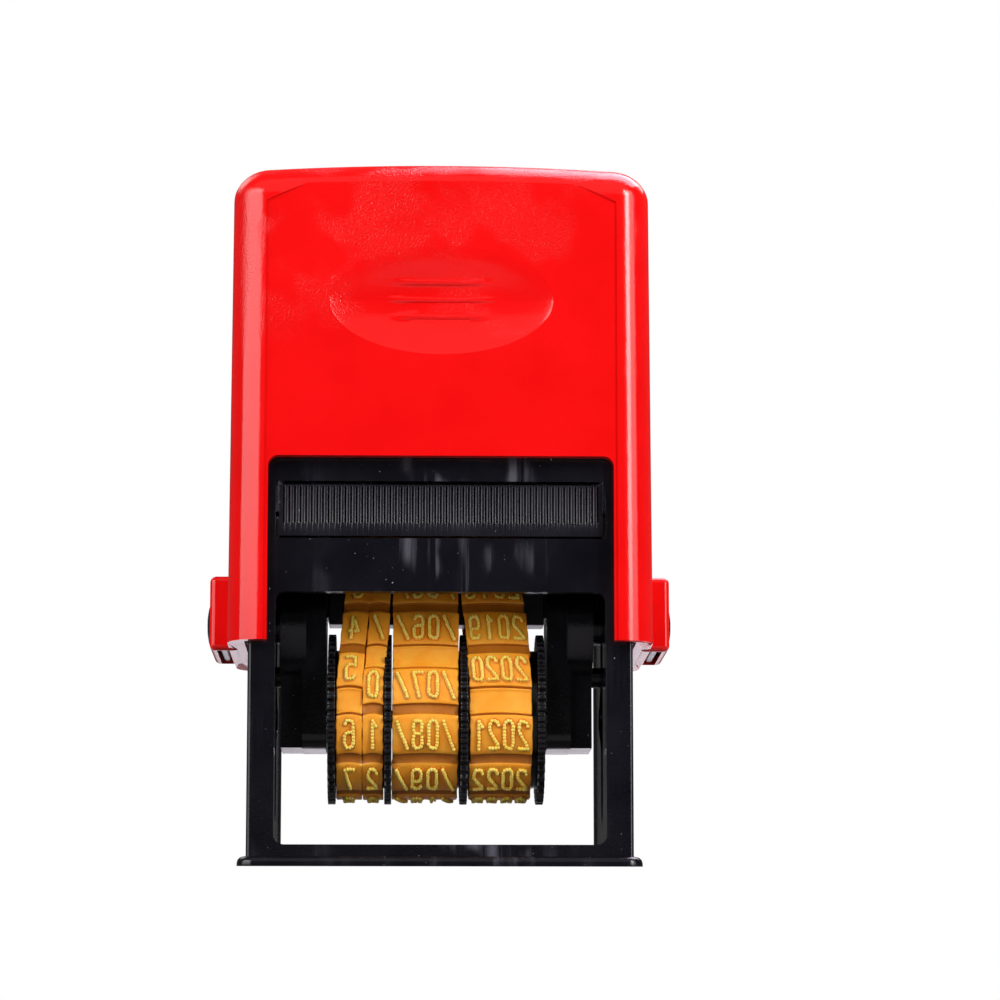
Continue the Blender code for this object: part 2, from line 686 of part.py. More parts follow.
def make_cheek(side, collection, cutters, material, parent):
    """A cheek of the carrier: plate, pivot boss, lower block and guide pin in one moulding.

    Its coordinates are measured from the pivot.
    """
    name = "cheek_left" if side < 0 else "cheek_right"
    low, high = sorted((CARRIER_X + side * PLATE_INNER, CARRIER_X + side * PLATE_OUTER))
    cheek = place(name, plate_mesh(name, [cheek_outline()], low, high, "X"), collection, material)
    inner = CARRIER_X + side * (PLATE_OUTER - SINK)
    outer = CARRIER_X + side * BLOCK_OUTER
    low, high = sorted((inner, outer))
    join(cheek, rod_mesh("boss", BOSS_RADIUS, low, high, 48), cutters)
    outer = CARRIER_X + side * (BLOCK_OUTER - BLOCK_STEP)
    low, high = sorted((inner, outer))
    block = box_mesh("lower_block", (low, -BLOCK_HALF_Y, -CHEEK_BELOW + BLOCK_STEP),
                     (high, BLOCK_HALF_Y, BLOCK_TOP))
    join(cheek, block, cutters)
    low, high = sorted((CARRIER_X + side * (BLOCK_OUTER - SINK), CARRIER_X + side * GUIDE_END))
    join(cheek, rod_mesh("guide", GUIDE_RADIUS, low, high, 20, (0, -GUIDE_DROP)), cutters)
    low, high = sorted((CARRIER_X + side * PLATE_OUTER, side * BORE_END))
    cut(cheek, rod_mesh("pin_bore", PIN_BORE, low, high, ROUND_STEPS), cutters)
    low, high = sorted((CARRIER_X + side * (PLATE_INNER - CUT_MARGIN),
                        CARRIER_X + side * AXLE_POCKET))
    bore = rod_mesh("axle_bore", WHEEL_BORE, low, high, 24, (0, -WHEEL_DROP))
    cut(cheek, bore, cutters)
    low, high = sorted((CARRIER_X + side * (PLATE_INNER - CUT_MARGIN),
                        CARRIER_X + side * (TONGUE_END + GAP)))
    pocket = box_mesh("tongue_pocket", (low, -TONGUE_HALF_Y - GAP, TONGUE_LOW - GAP),
                      (high, TONGUE_HALF_Y + GAP, TONGUE_HIGH + GAP))
    cut(cheek, pocket, cutters)
    attach(cheek, parent)
    shade(cheek)
    return cheek


def make_platen(collection, cutters, material, parent):
    """The platen: the bar that backs the type, with a tongue into each cheek."""
    outline = [(-PLATEN_HALF_Y, 0.0), (PLATEN_HALF_Y, 0.0)]
    shoulder = PLATEN_ABOVE - PLATEN_ROUND
    outline += arc((PLATEN_HALF_Y - PLATEN_ROUND, shoulder), PLATEN_ROUND, 0, 90, 3)
    outline += arc((-PLATEN_HALF_Y + PLATEN_ROUND, shoulder), PLATEN_ROUND, 90, 180, 3)
    bar = plate_mesh("platen", [outline], CARRIER_X - PLATEN_HALF_X, CARRIER_X + PLATEN_HALF_X, "X")
    platen = place("platen", bar, collection, material)
    tongue = box_mesh("tongue", (CARRIER_X - TONGUE_END, -TONGUE_HALF_Y, TONGUE_LOW),
                      (CARRIER_X + TONGUE_END, TONGUE_HALF_Y, TONGUE_HIGH))
    join(platen, tongue, cutters)
    attach(platen, parent)
    shade(platen)
    return platen


def gear_outline():
    """The thumb disc's outline: square-topped teeth with sloping flanks."""
    outline = []
    pitch = 360.0 / WHEEL_TEETH
    shares = ((0.0, WHEEL_ROOT), (TOOTH_FOOT, WHEEL_ROOT), (TOOTH_START, WHEEL_RADIUS),
              (TOOTH_END, WHEEL_RADIUS))
    for tooth in range(WHEEL_TEETH):
        for share, radius in shares:
            angle = math.radians((tooth + share) * pitch)
            outline.append((radius * math.cos(angle), radius * math.sin(angle)))
    return outline


def make_wheel(name, stations, collection, cutters, material, parent):
    """A thumb wheel about its own axis: a toothed disc, a drum for the band and a bore."""
    disc_low, disc_high = stations["disc"]
    wheel = place(f"wheel_{name}", plate_mesh(name, [gear_outline()], disc_low, disc_high, "X"),
                  collection, material)
    low, high = stations["drum"]
    low, high = (low - SINK, high) if disc_high == low else (low, high + SINK)
    join(wheel, rod_mesh("drum", DRUM_RADIUS, low, high, 40), cutters)
    cut(wheel, rod_mesh("wheel_bore", WHEEL_BORE, -AXLE_HALF, AXLE_HALF, 24), cutters)
    attach(wheel, parent)
    shade(wheel)
    return wheel


def make_axle(collection, material, parent):
    """The cross axle of the four wheels, with eased ends."""
    low = CARRIER_X - AXLE_HALF
    high = CARRIER_X + AXLE_HALF
    axle = place("wheel_axle", rod_mesh("wheel_axle", AXLE_RADIUS, low, high, 20), collection,
                 material)
    attach(axle, parent)
    shade(axle)
    return axle


class BandPath:
    """The closed loop that a band follows, about the wheel's axis, in the (y, z) plane.

    It wraps the drum and the platen's two upper corners, with straight runs between. The
    length s is measured on the neutral line from the middle of the platen down the front.
    """

    def __init__(self):
        self.corner_y = PLATEN_HALF_Y - PLATEN_ROUND
        self.corner_z = WHEEL_DROP + PLATEN_ABOVE - PLATEN_ROUND
        self.offset = BAND_NEUTRAL - BAND_INNER
        self.corner_r = PLATEN_ROUND + GAP + self.offset
        reach = math.hypot(self.corner_y, self.corner_z)
        lean = math.atan2(self.corner_y, self.corner_z)
        self.tilt = math.asin((BAND_NEUTRAL - self.corner_r) / reach) - lean
        self.flat = self.corner_y
        self.bend = self.corner_r * (math.pi / 2 - self.tilt)
        self.run = math.sqrt(reach ** 2 - (BAND_NEUTRAL - self.corner_r) ** 2)
        self.wrap = BAND_NEUTRAL * (math.pi / 2 + self.tilt)
        self.half = self.flat + self.bend + self.run + self.wrap

    def at(self, s, height):
        """The point at length s, raised by height over the neutral line, as (y, z)."""
        s = s % (2 * self.half)
        side = -1.0
        if s > self.half:
            s = 2 * self.half - s
            side = 1.0
        if s <= self.flat:
            y, z, angle = s, self.corner_z + self.corner_r, math.pi / 2
        elif s <= self.flat + self.bend:
            angle = math.pi / 2 - (s - self.flat) / self.corner_r
            y = self.corner_y + self.corner_r * math.cos(angle)
            z = self.corner_z + self.corner_r * math.sin(angle)
        elif s <= self.flat + self.bend + self.run:
            angle = self.tilt
            down = s - self.flat - self.bend
            y = self.corner_y + self.corner_r * math.cos(angle) + down * math.sin(angle)
            z = self.corner_z + self.corner_r * math.sin(angle) - down * math.cos(angle)
        else:
            angle = self.tilt - (s - self.flat - self.bend - self.run) / BAND_NEUTRAL
            y = BAND_NEUTRAL * math.cos(angle)
            z = BAND_NEUTRAL * math.sin(angle)
        return side * (y + height * math.cos(angle)), z + height * math.sin(angle)

    def breaks(self):
        """Lengths at which the path changes from straight to round, for half the loop."""
        marks = [0.0, self.flat]
        marks += [self.flat + self.bend * i / 3 for i in (1, 2, 3)]
        start = self.flat + self.bend + self.run
        marks += [start + self.wrap * i / 12 for i in range(12)]
        return marks


def block_centres(path, before_gap):
    """Lengths of the twelve type blocks' middles, the first on the platen."""
    pitch = (2 * path.half - 2 * BAND_WIDE_GAP) / BLOCK_COUNT
    centres = []
    s = 0.0
    for i in range(BLOCK_COUNT):
        if i:
            s += pitch
        if i == before_gap or i == before_gap + BLOCK_GROUP:
            s += BAND_WIDE_GAP
        centres.append(s)
    return centres


def band_outlines(before_gap):
    """The outer outline with its twelve raised blocks, and the inner one."""
    path = BandPath()
    whole = 2 * path.half
    marks = path.breaks()
    marks += [whole - m for m in marks if m > 0] + [path.half]
    inner_height = -path.offset
    base_height = inner_height + BAND_THICK
    steps = [(s, base_height) for s in marks]
    half_block = BLOCK_LENGTH / 2
    edge = BLOCK_FLANK
    for centre in block_centres(path, before_gap):
        low, high = centre - half_block, centre + half_block
        steps = [(s, h) for s, h in steps if not inside(s, low - edge, high + edge, whole)]
        steps += [(low - edge, base_height), (high + edge, base_height)]
        rise = base_height + BLOCK_RISE
        inner_marks = [m for m in marks
                       if inside(m, low + BLOCK_MARGIN, high - BLOCK_MARGIN, whole)]
        steps += [(s, rise) for s in [low, high] + inner_marks]
    outer = ordered(steps, whole)
    inner = ordered([(s, inner_height) for s in marks], whole)
    return ([path.at(s, h) for s, h in outer], [path.at(s, h) for s, h in inner])


def inside(s, low, high, whole):
    """Whether length s lies between low and high on a closed loop."""
    return (s - low) % whole < high - low


def ordered(steps, whole):
    """Points sorted once round the loop."""
    return sorted(((s % whole, h) for s, h in steps), key=lambda step: step[0])


def make_band(name, stations, collection, material, parent):
    """A rubber type band about the wheel's axis."""
    low, high, before_gap = stations
    outer, inner = band_outlines(before_gap)
    band = place(f"band_{name}", plate_mesh(name, [outer, inner], low, high, "X"), collection,
                 material)
    attach(band, parent)
    shade(band, 25.0)
    return band


def grip_grooves_mesh():
    """The upright grooves between the finger ribs at both ends of the cartridge."""
    count = int(2 * GRIP_HALF_X / GRIP_PITCH)
    start = -count * GRIP_PITCH / 2
    height = GRIP_TOP - GRIP_BOTTOM
    reach = CUT_MARGIN
    bm = bmesh.new()
    for side in (-1, 1):
        middle_y = side * (TRAY_HALF_Y - GRIP_DEPTH + reach / 2)
        for i in range(count + 1):
            made = bmesh.ops.create_cube(bm, size=1.0)["verts"]
            for vert in made:
                bottom = vert.co.y * side < 0
                width = GRIP_FLOOR if bottom else GRIP_MOUTH
                vert.co.x = start + i * GRIP_PITCH + vert.co.x * width
                vert.co.y = middle_y + vert.co.y * reach
                vert.co.z = (GRIP_BOTTOM + GRIP_TOP) / 2 + vert.co.z * height
    bmesh.ops.scale(bm, vec=(MM, MM, MM), verts=bm.verts)
    return mesh_from(bm, "grip_grooves")


def make_tray(collection, cutters, material, parent):
    """The ink cartridge: a tray open below, ribbed at both ends."""
    block = box_mesh("pad_tray", (-TRAY_HALF_X, -TRAY_HALF_Y, TRAY_BOTTOM),
                     (TRAY_HALF_X, TRAY_HALF_Y, TRAY_TOP), 0.15, 1)
    tray = place("pad_tray", block, collection, material)
    cut(tray, grip_grooves_mesh(), cutters)
    well = box_mesh("felt_well",
                    (-FELT_HALF_X - FELT_GAP, -FELT_HALF_Y - FELT_GAP, TRAY_BOTTOM - CUT_MARGIN),
                    (FELT_HALF_X + FELT_GAP, FELT_HALF_Y + FELT_GAP, FELT_TOP + FELT_GAP))
    cut(tray, well, cutters)
    attach(tray, parent)
    shade(tray)
    return tray


def make_felt(collection, material, parent):
    """The inked felt in the tray's well."""
    block = box_mesh("ink_felt", (-FELT_HALF_X, -FELT_HALF_Y, FELT_BOTTOM),
                     (FELT_HALF_X, FELT_HALF_Y, FELT_TOP), 0.3, 1)
    felt = place("ink_felt", block, collection, material)
    attach(felt, parent)
    return felt


def make_spring(collection, material):
    """The return spring, wound between the deck and the cap's ceiling."""
    low = DECK_TOP + GAP + SPRING_WIRE
    high = CAP_CEILING - GAP - SPRING_WIRE
    count = SPRING_TURNS * SPRING_STEPS
    curve = bpy.data.curves.new("return_spring", "CURVE")
    curve.dimensions = "3D"
    curve.bevel_depth = SPRING_WIRE * MM
    curve.bevel_resolution = 2
    curve.use_fill_caps = True
    spline = curve.splines.new("POLY")
    spline.points.add(count)
    for i, point in enumerate(spline.points):
        turn = 2 * math.pi * i / SPRING_STEPS
        share = i / count
        climb = spring_climb(share)
        point.co = (SPRING_RADIUS * math.cos(turn) * MM, SPRING_RADIUS * math.sin(turn) * MM,
                    (low + (high - low) * climb) * MM, 1.0)
    spring = bpy.data.objects.new("return_spring", curve)
    collection.objects.link(spring)
    curve.materials.append(material)
    return spring


def spring_climb(share):
    """Height share along the wire: closed, nearly flat end turns and an even pitch between."""
    end = 1.0 / SPRING_TURNS
    slow = SPRING_CLOSED_SHARE
    if share < end:
        return slow * share / end
    if share > 1 - end:
        return 1 - slow * (1 - share) / end
    return slow + (1 - 2 * slow) * (share - end) / (1 - 2 * end)


def make_empty(name, location, collection, parent=None):
    """An empty on a joint's axis; its children turn or slide with it."""
    empty = bpy.data.objects.new(name, None)
    empty.empty_display_size = 0.005
    collection.objects.link(empty)
    empty.parent = parent
    empty.location = Vector(location) * MM
    return empty


def build():
    """Make the whole stamp."""
    clear_scene()
    parts = new_collection("rotary_date_stamp")
    cutters = new_collection("cutters")
    red = plastic("red_gloss_plastic", RED, 0.22)
    black = plastic("black_plastic", BLACK, 0.35)
    bearing_black = plastic("bearing_plastic", BEARING_BLACK, 0.5)
    ochre = plastic("ochre_rubber", OCHRE, 0.45)
    steel = plastic("bright_steel", STEEL, 0.25, 1.0)
    ink = plastic("inked_felt", FELT_INK, 0.9)

    make_frame(parts, cutters, black)
    make_spring(parts, steel)
    make_cap(parts, cutters, red)
    make_bearing(-1, parts, cutters, bearing_black)
    make_bearing(1, parts, cutters, bearing_black)

    pad = make_empty("pad_slide_axis", (0, 0, 0), parts)
    make_tray(parts, cutters, black, pad)
    make_felt(parts, ink, pad)

    pivot = make_empty("carrier_pivot_axis", (0, 0, PIVOT_Z), parts)
    for side in (-1, 1):
        make_pin(side, parts, bearing_black, pivot)
        make_cheek(side, parts, cutters, black, pivot)
    make_platen(parts, cutters, black, pivot)

    wheel_axis = make_empty("wheel_axis", (0, 0, -WHEEL_DROP), parts, pivot)
    make_axle(parts, steel, wheel_axis)
    for name, stations in WHEELS.items():
        make_wheel(name, stations, parts, cutters, black, wheel_axis)
    for name, stations in BANDS.items():
        make_band(name, stations, parts, ochre, wheel_axis)


build()
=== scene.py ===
"""Looks of the rotary date stamp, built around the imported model.

Lengths in the constants are millimetres. RUB_MIDDLE, RUB_REACH, RUBBER_GLOW_DEPTH, WELD_DISTANCE
and the set's are metres. The stamp faces -Y and stands on z = 0.
"""

import json
import math
import random

import bmesh
import bpy
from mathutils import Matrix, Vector


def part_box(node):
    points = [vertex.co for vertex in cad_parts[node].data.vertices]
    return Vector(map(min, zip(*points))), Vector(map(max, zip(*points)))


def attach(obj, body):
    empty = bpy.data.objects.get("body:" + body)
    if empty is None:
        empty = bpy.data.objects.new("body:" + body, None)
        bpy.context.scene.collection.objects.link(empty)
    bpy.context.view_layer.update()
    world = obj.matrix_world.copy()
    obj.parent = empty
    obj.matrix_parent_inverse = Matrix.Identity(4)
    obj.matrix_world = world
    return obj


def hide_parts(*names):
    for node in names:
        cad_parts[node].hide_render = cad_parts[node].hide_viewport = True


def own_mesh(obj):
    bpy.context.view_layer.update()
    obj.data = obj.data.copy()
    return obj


MM = 0.001
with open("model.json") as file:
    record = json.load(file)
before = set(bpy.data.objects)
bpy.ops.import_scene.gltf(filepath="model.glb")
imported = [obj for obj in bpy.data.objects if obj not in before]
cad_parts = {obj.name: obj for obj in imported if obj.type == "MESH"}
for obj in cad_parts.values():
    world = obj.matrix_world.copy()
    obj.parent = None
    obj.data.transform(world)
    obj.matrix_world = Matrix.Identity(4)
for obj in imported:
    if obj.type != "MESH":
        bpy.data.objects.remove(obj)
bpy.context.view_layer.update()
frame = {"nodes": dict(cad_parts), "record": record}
BODY_OF = {node: body for body, nodes in frame["record"]["behaviour"]["bodies"].items()
           for node in nodes}


def millimetres(node):
    """A CAD node's lowest and highest corner in millimetres."""
    low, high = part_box(node)
    return low / MM, high / MM


# ---------------------------------------------------------------- materials

def new_material(name):
    """An empty node material: its tree, its Principled shader and the object coordinates."""
    material = bpy.data.materials.new(name)
    material.use_nodes = True
    tree = material.node_tree
    shader = tree.nodes["Principled BSDF"]
    coordinates = tree.nodes.new("ShaderNodeTexCoord").outputs["Object"]
    return material, tree, shader, coordinates


def noise(tree, coordinates, scale, detail=2.0, stretch=(1.0, 1.0, 1.0), rough=0.5):
    """A noise value from 0 to 1, with features of about 1 / scale metres."""
    if stretch != (1.0, 1.0, 1.0):
        mapping = tree.nodes.new("ShaderNodeMapping")
        mapping.inputs["Scale"].default_value = stretch
        tree.links.new(coordinates, mapping.inputs["Vector"])
        coordinates = mapping.outputs["Vector"]
    node = tree.nodes.new("ShaderNodeTexNoise")
    node.inputs["Scale"].default_value = scale
    node.inputs["Detail"].default_value = detail
    node.inputs["Roughness"].default_value = rough
    tree.links.new(coordinates, node.inputs["Vector"])
    return node.outputs["Fac"]


def remap(tree, value, low, high, to_low, to_high, smooth=False):
    """A value stretched from one range to another, and clamped."""
    node = tree.nodes.new("ShaderNodeMapRange")
    node.interpolation_type = "SMOOTHSTEP" if smooth else "LINEAR"
    for socket, number in (("From Min", low), ("From Max", high), ("To Min", to_low),
                           ("To Max", to_high)):
        node.inputs[socket].default_value = number
    tree.links.new(value, node.inputs["Value"])
    return node.outputs["Result"]


def combine(tree, operation, a, b):
    """Two values put together by a Math node; b may be a plain number."""
    node = tree.nodes.new("ShaderNodeMath")
    node.operation = operation
    tree.links.new(a, node.inputs[0])
    if isinstance(b, (int, float)):
        node.inputs[1].default_value = b
    else:
        tree.links.new(b, node.inputs[1])
    return node.outputs["Value"]


def blend_colours(tree, share, first, second):
    """A colour between two; each is a tuple or another node's colour."""
    node = tree.nodes.new("ShaderNodeMix")
    node.data_type = "RGBA"
    tree.links.new(share, node.inputs["Factor"])
    for socket, colour in ((node.inputs[6], first), (node.inputs[7], second)):
        if isinstance(colour, tuple):
            socket.default_value = (*colour, 1.0)
        else:
            tree.links.new(colour, socket)
    return node.outputs[2]


def bump(tree, shader, height, depth, strength=1.0):
    """Relief of the surface: height from 0 to 1, depth in metres."""
    node = tree.nodes.new("ShaderNodeBump")
    node.inputs["Distance"].default_value = depth
    tree.links.new(height, node.inputs["Height"])
    if isinstance(strength, float):
        node.inputs["Strength"].default_value = strength
    else:
        tree.links.new(strength, node.inputs["Strength"])
    tree.links.new(node.outputs["Normal"], shader.inputs["Normal"])


def axis_value(tree, coordinates, axis):
    """One coordinate of a point, by the axis's letter."""
    split = tree.nodes.new("ShaderNodeSeparateXYZ")
    tree.links.new(coordinates, split.inputs["Vector"])
    return split.outputs[axis]


def height_share(tree, coordinates, low, high):
    """How far up a point is between two heights in millimetres, from 0 to 1."""
    height = axis_value(tree, coordinates, "Z")
    return remap(tree, height, low * MM, high * MM, 0.0, 1.0, smooth=True)


RED_DEEP = (0.80, 0.0028, 0.0030)
RED_BRIGHT = (0.88, 0.0045, 0.0052)
RED_GRAIN_HEIGHTS = (62.0, 80.0)
RUB_TONE = (0.11, 0.10, 0.14)
RUB_MIDDLE = 0.004
RUB_REACH = (0.005, 0.016)
DUST_TONE = (0.42, 0.40, 0.40)
RUBBER_GLOW = 0.25
RUBBER_GLOW_DEPTH = 0.0008
RUBBER_GLOW_COLOURS = (1.0, 0.45, 0.12)


def cap_red():
    """Glossy red ABS: fine spark-eroded grain high on the faces, smoother lower down."""
    material, tree, shader, where = new_material("cap_red")
    drift = noise(tree, where, 90.0, 3.0)
    colour = blend_colours(tree, remap(tree, drift, 0.3, 0.7, 0.0, 1.0), RED_DEEP, RED_BRIGHT)
    tree.links.new(colour, shader.inputs["Base Color"])
    patches = remap(tree, noise(tree, where, 130.0, 2.0), 0.42, 0.60, 0.15, 1.0, smooth=True)
    upper = remap(tree, height_share(tree, where, *RED_GRAIN_HEIGHTS), 0.0, 1.0, 0.12, 1.0)
    grain_share = combine(tree, "MULTIPLY", patches, upper)
    rough = remap(tree, grain_share, 0.0, 1.0, 0.12, 0.20)
    tree.links.new(rough, shader.inputs["Roughness"])
    grain = noise(tree, where, 3300.0, 2.0, rough=0.6)
    bump(tree, shader, grain, 0.00009, combine(tree, "MULTIPLY", grain_share, 0.9))
    shader.inputs["IOR"].default_value = 1.5
    return material


def moulded(name, dark, light, roughness, grain=2600.0, depth=0.00002, streaks=0.0, specks=0.0):
    """Moulded plastic: two close tones, fine grain, and if asked upright rubs and dust.

    The rubs are strongest about RUB_MIDDLE and fade over RUB_REACH, both in metres along X.
    """
    material, tree, shader, where = new_material(name)
    drift = noise(tree, where, 160.0, 4.0)
    colour = blend_colours(tree, remap(tree, drift, 0.3, 0.7, 0.0, 1.0), dark, light)
    rough = remap(tree, drift, 0.25, 0.75, roughness * 0.8, roughness * 1.25)
    if streaks:
        fine = noise(tree, where, 620.0, 3.0, (1.0, 1.0, 0.035), 0.6)
        wide = noise(tree, where, 170.0, 2.0, (1.0, 1.0, 0.55))
        rubs = combine(tree, "MULTIPLY", remap(tree, fine, 0.46, 0.80, 0.0, 1.0),
                       remap(tree, wide, 0.48, 0.64, 0.0, 1.0, smooth=True))
        across = combine(tree, "SUBTRACT", axis_value(tree, where, "X"), RUB_MIDDLE)
        worn = remap(tree, combine(tree, "ABSOLUTE", across, 0), *RUB_REACH, 1.0, 0.12,
                     smooth=True)
        rubs = combine(tree, "MULTIPLY", combine(tree, "MULTIPLY", rubs, worn), streaks)
        colour = blend_colours(tree, rubs, colour, RUB_TONE)
        rough = combine(tree, "ADD", rough, rubs)
    if specks:
        dust = remap(tree, noise(tree, where, 2400.0, 1.0), 0.775, 0.83, 0.0, specks)
        colour = blend_colours(tree, dust, colour, DUST_TONE)
    tree.links.new(colour, shader.inputs["Base Color"])
    tree.links.new(rough, shader.inputs["Roughness"])
    bump(tree, shader, noise(tree, where, grain, 3.0), depth)
    return material


def rubber(name, deep, bright):
    """Type rubber: slightly see-through, mottled, with a dull sheen."""
    material, tree, shader, where = new_material(name)
    drift = noise(tree, where, 420.0, 4.0, rough=0.6)
    colour = blend_colours(tree, remap(tree, drift, 0.3, 0.7, 0.0, 1.0), deep, bright)
    tree.links.new(colour, shader.inputs["Base Color"])
    tree.links.new(remap(tree, drift, 0.3, 0.7, 0.30, 0.46), shader.inputs["Roughness"])
    bump(tree, shader, noise(tree, where, 2400.0, 3.0), 0.00003)
    shader.inputs["Subsurface Weight"].default_value = RUBBER_GLOW
    shader.inputs["Subsurface Scale"].default_value = RUBBER_GLOW_DEPTH
    shader.inputs["Subsurface Radius"].default_value = RUBBER_GLOW_COLOURS
    return material


def bright_steel():
    """Drawn steel with fine marks along its length."""
    material, tree, shader, where = new_material("bright_steel")
    marks = noise(tree, where, 1800.0, 3.0, (0.08, 1.0, 1.0))
    colour = blend_colours(tree, marks, (0.50, 0.50, 0.52), (0.66, 0.66, 0.67))
    tree.links.new(colour, shader.inputs["Base Color"])
    tree.links.new(remap(tree, marks, 0.3, 0.7, 0.2, 0.36), shader.inputs["Roughness"])
    bump(tree, shader, marks, 0.00001)
    shader.inputs["Metallic"].default_value = 1.0
    return material


def inked_felt():
    """Felt soaked with ink: nearly black fibres, wet in places."""
    material, tree, shader, where = new_material("inked_felt")
    fibre = noise(tree, where, 2200.0, 5.0, (1.0, 1.0, 0.4), 0.7)
    colour = blend_colours(tree, fibre, (0.004, 0.004, 0.009), (0.03, 0.03, 0.045))
    tree.links.new(colour, shader.inputs["Base Color"])
    wet = noise(tree, where, 300.0, 2.0)
    tree.links.new(remap(tree, wet, 0.35, 0.65, 0.45, 0.95), shader.inputs["Roughness"])
    bump(tree, shader, fibre, 0.00025)
    return material


RED = cap_red()
FRAME_BLACK = moulded("frame_black", (0.0030, 0.0030, 0.0055), (0.0050, 0.0050, 0.0085), 0.19,
                      streaks=0.9, specks=0.7)
TRAY_BLACK = moulded("cartridge_black", (0.0050, 0.0046, 0.0085), (0.0082, 0.0076, 0.0130), 0.25,
                     specks=0.5)
CARRIER_BLACK = moulded("carrier_black", (0.0022, 0.0022, 0.0040), (0.0045, 0.0045, 0.0070), 0.20,
                        specks=0.4)
WHEEL_BLACK = moulded("wheel_black", (0.0025, 0.0025, 0.0045), (0.0060, 0.0060, 0.0090), 0.24,
                      grain=2000.0, depth=0.00003, specks=0.3)
BEARING_BLACK = moulded("bearing_black", (0.010, 0.010, 0.013), (0.018, 0.018, 0.022), 0.22)
PIN_BLACK = moulded("pin_black", (0.004, 0.004, 0.006), (0.008, 0.008, 0.010), 0.16)
PLATEN_BLACK = moulded("platen_black", (0.008, 0.008, 0.011), (0.016, 0.016, 0.020), 0.30)
BAND_OCHRE = rubber("band_ochre", (0.96, 0.325, 0.016), (1.00, 0.430, 0.034))
# The band's own rubber painted lighter and yellower on the type: painted highlight where the
# raised type catches the light.
TYPE_PAINTED_HIGHLIGHT = rubber("type_painted_highlight", (1.00, 0.66, 0.075), (1.00, 0.80, 0.190))
# A darker, deeper orange at each bead's foot: painted shade round the bead, with the deeper colour
# of light passed through the rubber.
TYPE_FOOT_PAINTED_SHADE = rubber("type_foot_painted_shade", (0.84, 0.210, 0.004), (0.92, 0.260, 0.008))
# A darker ochre for the narrow gaps and the groove under each block: painted shade in the
# recesses.
GAP_PAINTED_SHADE = rubber("gap_painted_shade", (0.40, 0.115, 0.005), (0.52, 0.165, 0.009))
STEEL = bright_steel()
FELT = inked_felt()


# ---------------------------------------------------------------- mesh helpers

WELD_DISTANCE = 0.000004
FLAT_ANGLE = 0.6
FLAT_WEIGHT = 80


def new_object(name, mesh, *materials):
    """An object in the scene's own collection."""
    obj = bpy.data.objects.new(name, mesh)
    bpy.context.scene.collection.objects.link(obj)
    for material in materials:
        mesh.materials.append(material)
    return obj


def settle(obj):
    """Apply an object's modifiers to its mesh."""
    graph = bpy.context.evaluated_depsgraph_get()
    mesh = bpy.data.meshes.new_from_object(obj.evaluated_get(graph))
    obj.modifiers.clear()
    obj.data = mesh


def weigh_normals(obj):
    """Shade large faces flat and leave the turn to the small ones between them."""
    weigh = obj.modifiers.new("flats", "WEIGHTED_NORMAL")
    weigh.keep_sharp = True
    weigh.weight = FLAT_WEIGHT
    settle(obj)


def soften(obj, width, segments=2, angle=30.0, weighted=True):
    """Round the edges by width millimetres and shade the faces flat between them."""
    bevel = obj.modifiers.new("ease", "BEVEL")
    bevel.width = width * MM
    bevel.segments = segments
    bevel.limit_method = "ANGLE"
    bevel.angle_limit = math.radians(angle)
    bevel.miter_outer = "MITER_ARC"
    bevel.harden_normals = False
    settle(obj)
    obj.data.shade_smooth()
    if weighted:
        weigh_normals(obj)


def adopt(obj, node):
    """Let a piece stand for a CAD node: put it on the node's body and hide the node."""
    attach(obj, BODY_OF[node])
    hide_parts(node)


def clean(bm):
    """Weld a triangle mesh and join its flat faces again."""
    bmesh.ops.remove_doubles(bm, verts=bm.verts, dist=WELD_DISTANCE)
    bmesh.ops.dissolve_limit(bm, angle_limit=math.radians(FLAT_ANGLE), verts=bm.verts,
                             edges=bm.edges, use_dissolve_boundaries=False)


def mesh_of(bm, name):
    """A mesh from a bmesh, its faces turned outwards."""
    bmesh.ops.recalc_face_normals(bm, faces=bm.faces[:])
    mesh = bpy.data.meshes.new(name)
    bm.to_mesh(mesh)
    bm.free()
    return mesh


def eased(node, material, width, segments=2, angle=30.0):
    """A CAD node's own shape with the edges of a moulding instead of sharp ones."""
    bm = bmesh.new()
    bm.from_mesh(frame["nodes"][node].data)
    clean(bm)
    mesh = bpy.data.meshes.new(f"{node}_finish")
    bm.to_mesh(mesh)
    bm.free()
    obj = new_object(f"{node}_finish", mesh, material)
    soften(obj, width, segments, angle)
    adopt(obj, node)


def block_mesh(low, high):
    """A plain block between two corners, for a Boolean."""
    bm = bmesh.new()
    bmesh.ops.create_cube(bm, size=1.0)
    bmesh.ops.scale(bm, vec=high - low, verts=bm.verts)
    bmesh.ops.translate(bm, vec=(high + low) / 2, verts=bm.verts)
    mesh = bpy.data.meshes.new("block")
    bm.to_mesh(mesh)
    bm.free()
    return mesh


def carve(obj, cutter, operation="DIFFERENCE"):
    """Boolean with a cutter that is then thrown away."""
    boolean = obj.modifiers.new("carve", "BOOLEAN")
    boolean.operation = operation
    boolean.solver = "EXACT"
    boolean.object = cutter
    settle(obj)
    bpy.data.objects.remove(cutter, do_unlink=True)


# ---------------------------------------------------------------- black and steel parts

eased("base_frame", FRAME_BLACK, 0.22, 3)
for side in ("left", "right"):
    eased(f"bearing_{side}", BEARING_BLACK, 0.12)
    eased(f"pivot_pin_{side}", PIN_BLACK, 0.15, 2, 35.0)
    eased(f"cheek_{side}", CARRIER_BLACK, 0.3, 3)
eased("platen", PLATEN_BLACK, 0.15)
eased("wheel_axle", STEEL, 0.15)
for wheel in ("units", "tens", "month", "year"):
    eased(f"wheel_{wheel}", WHEEL_BLACK, 0.1, 2)

# ---------------------------------------------------------------- cap

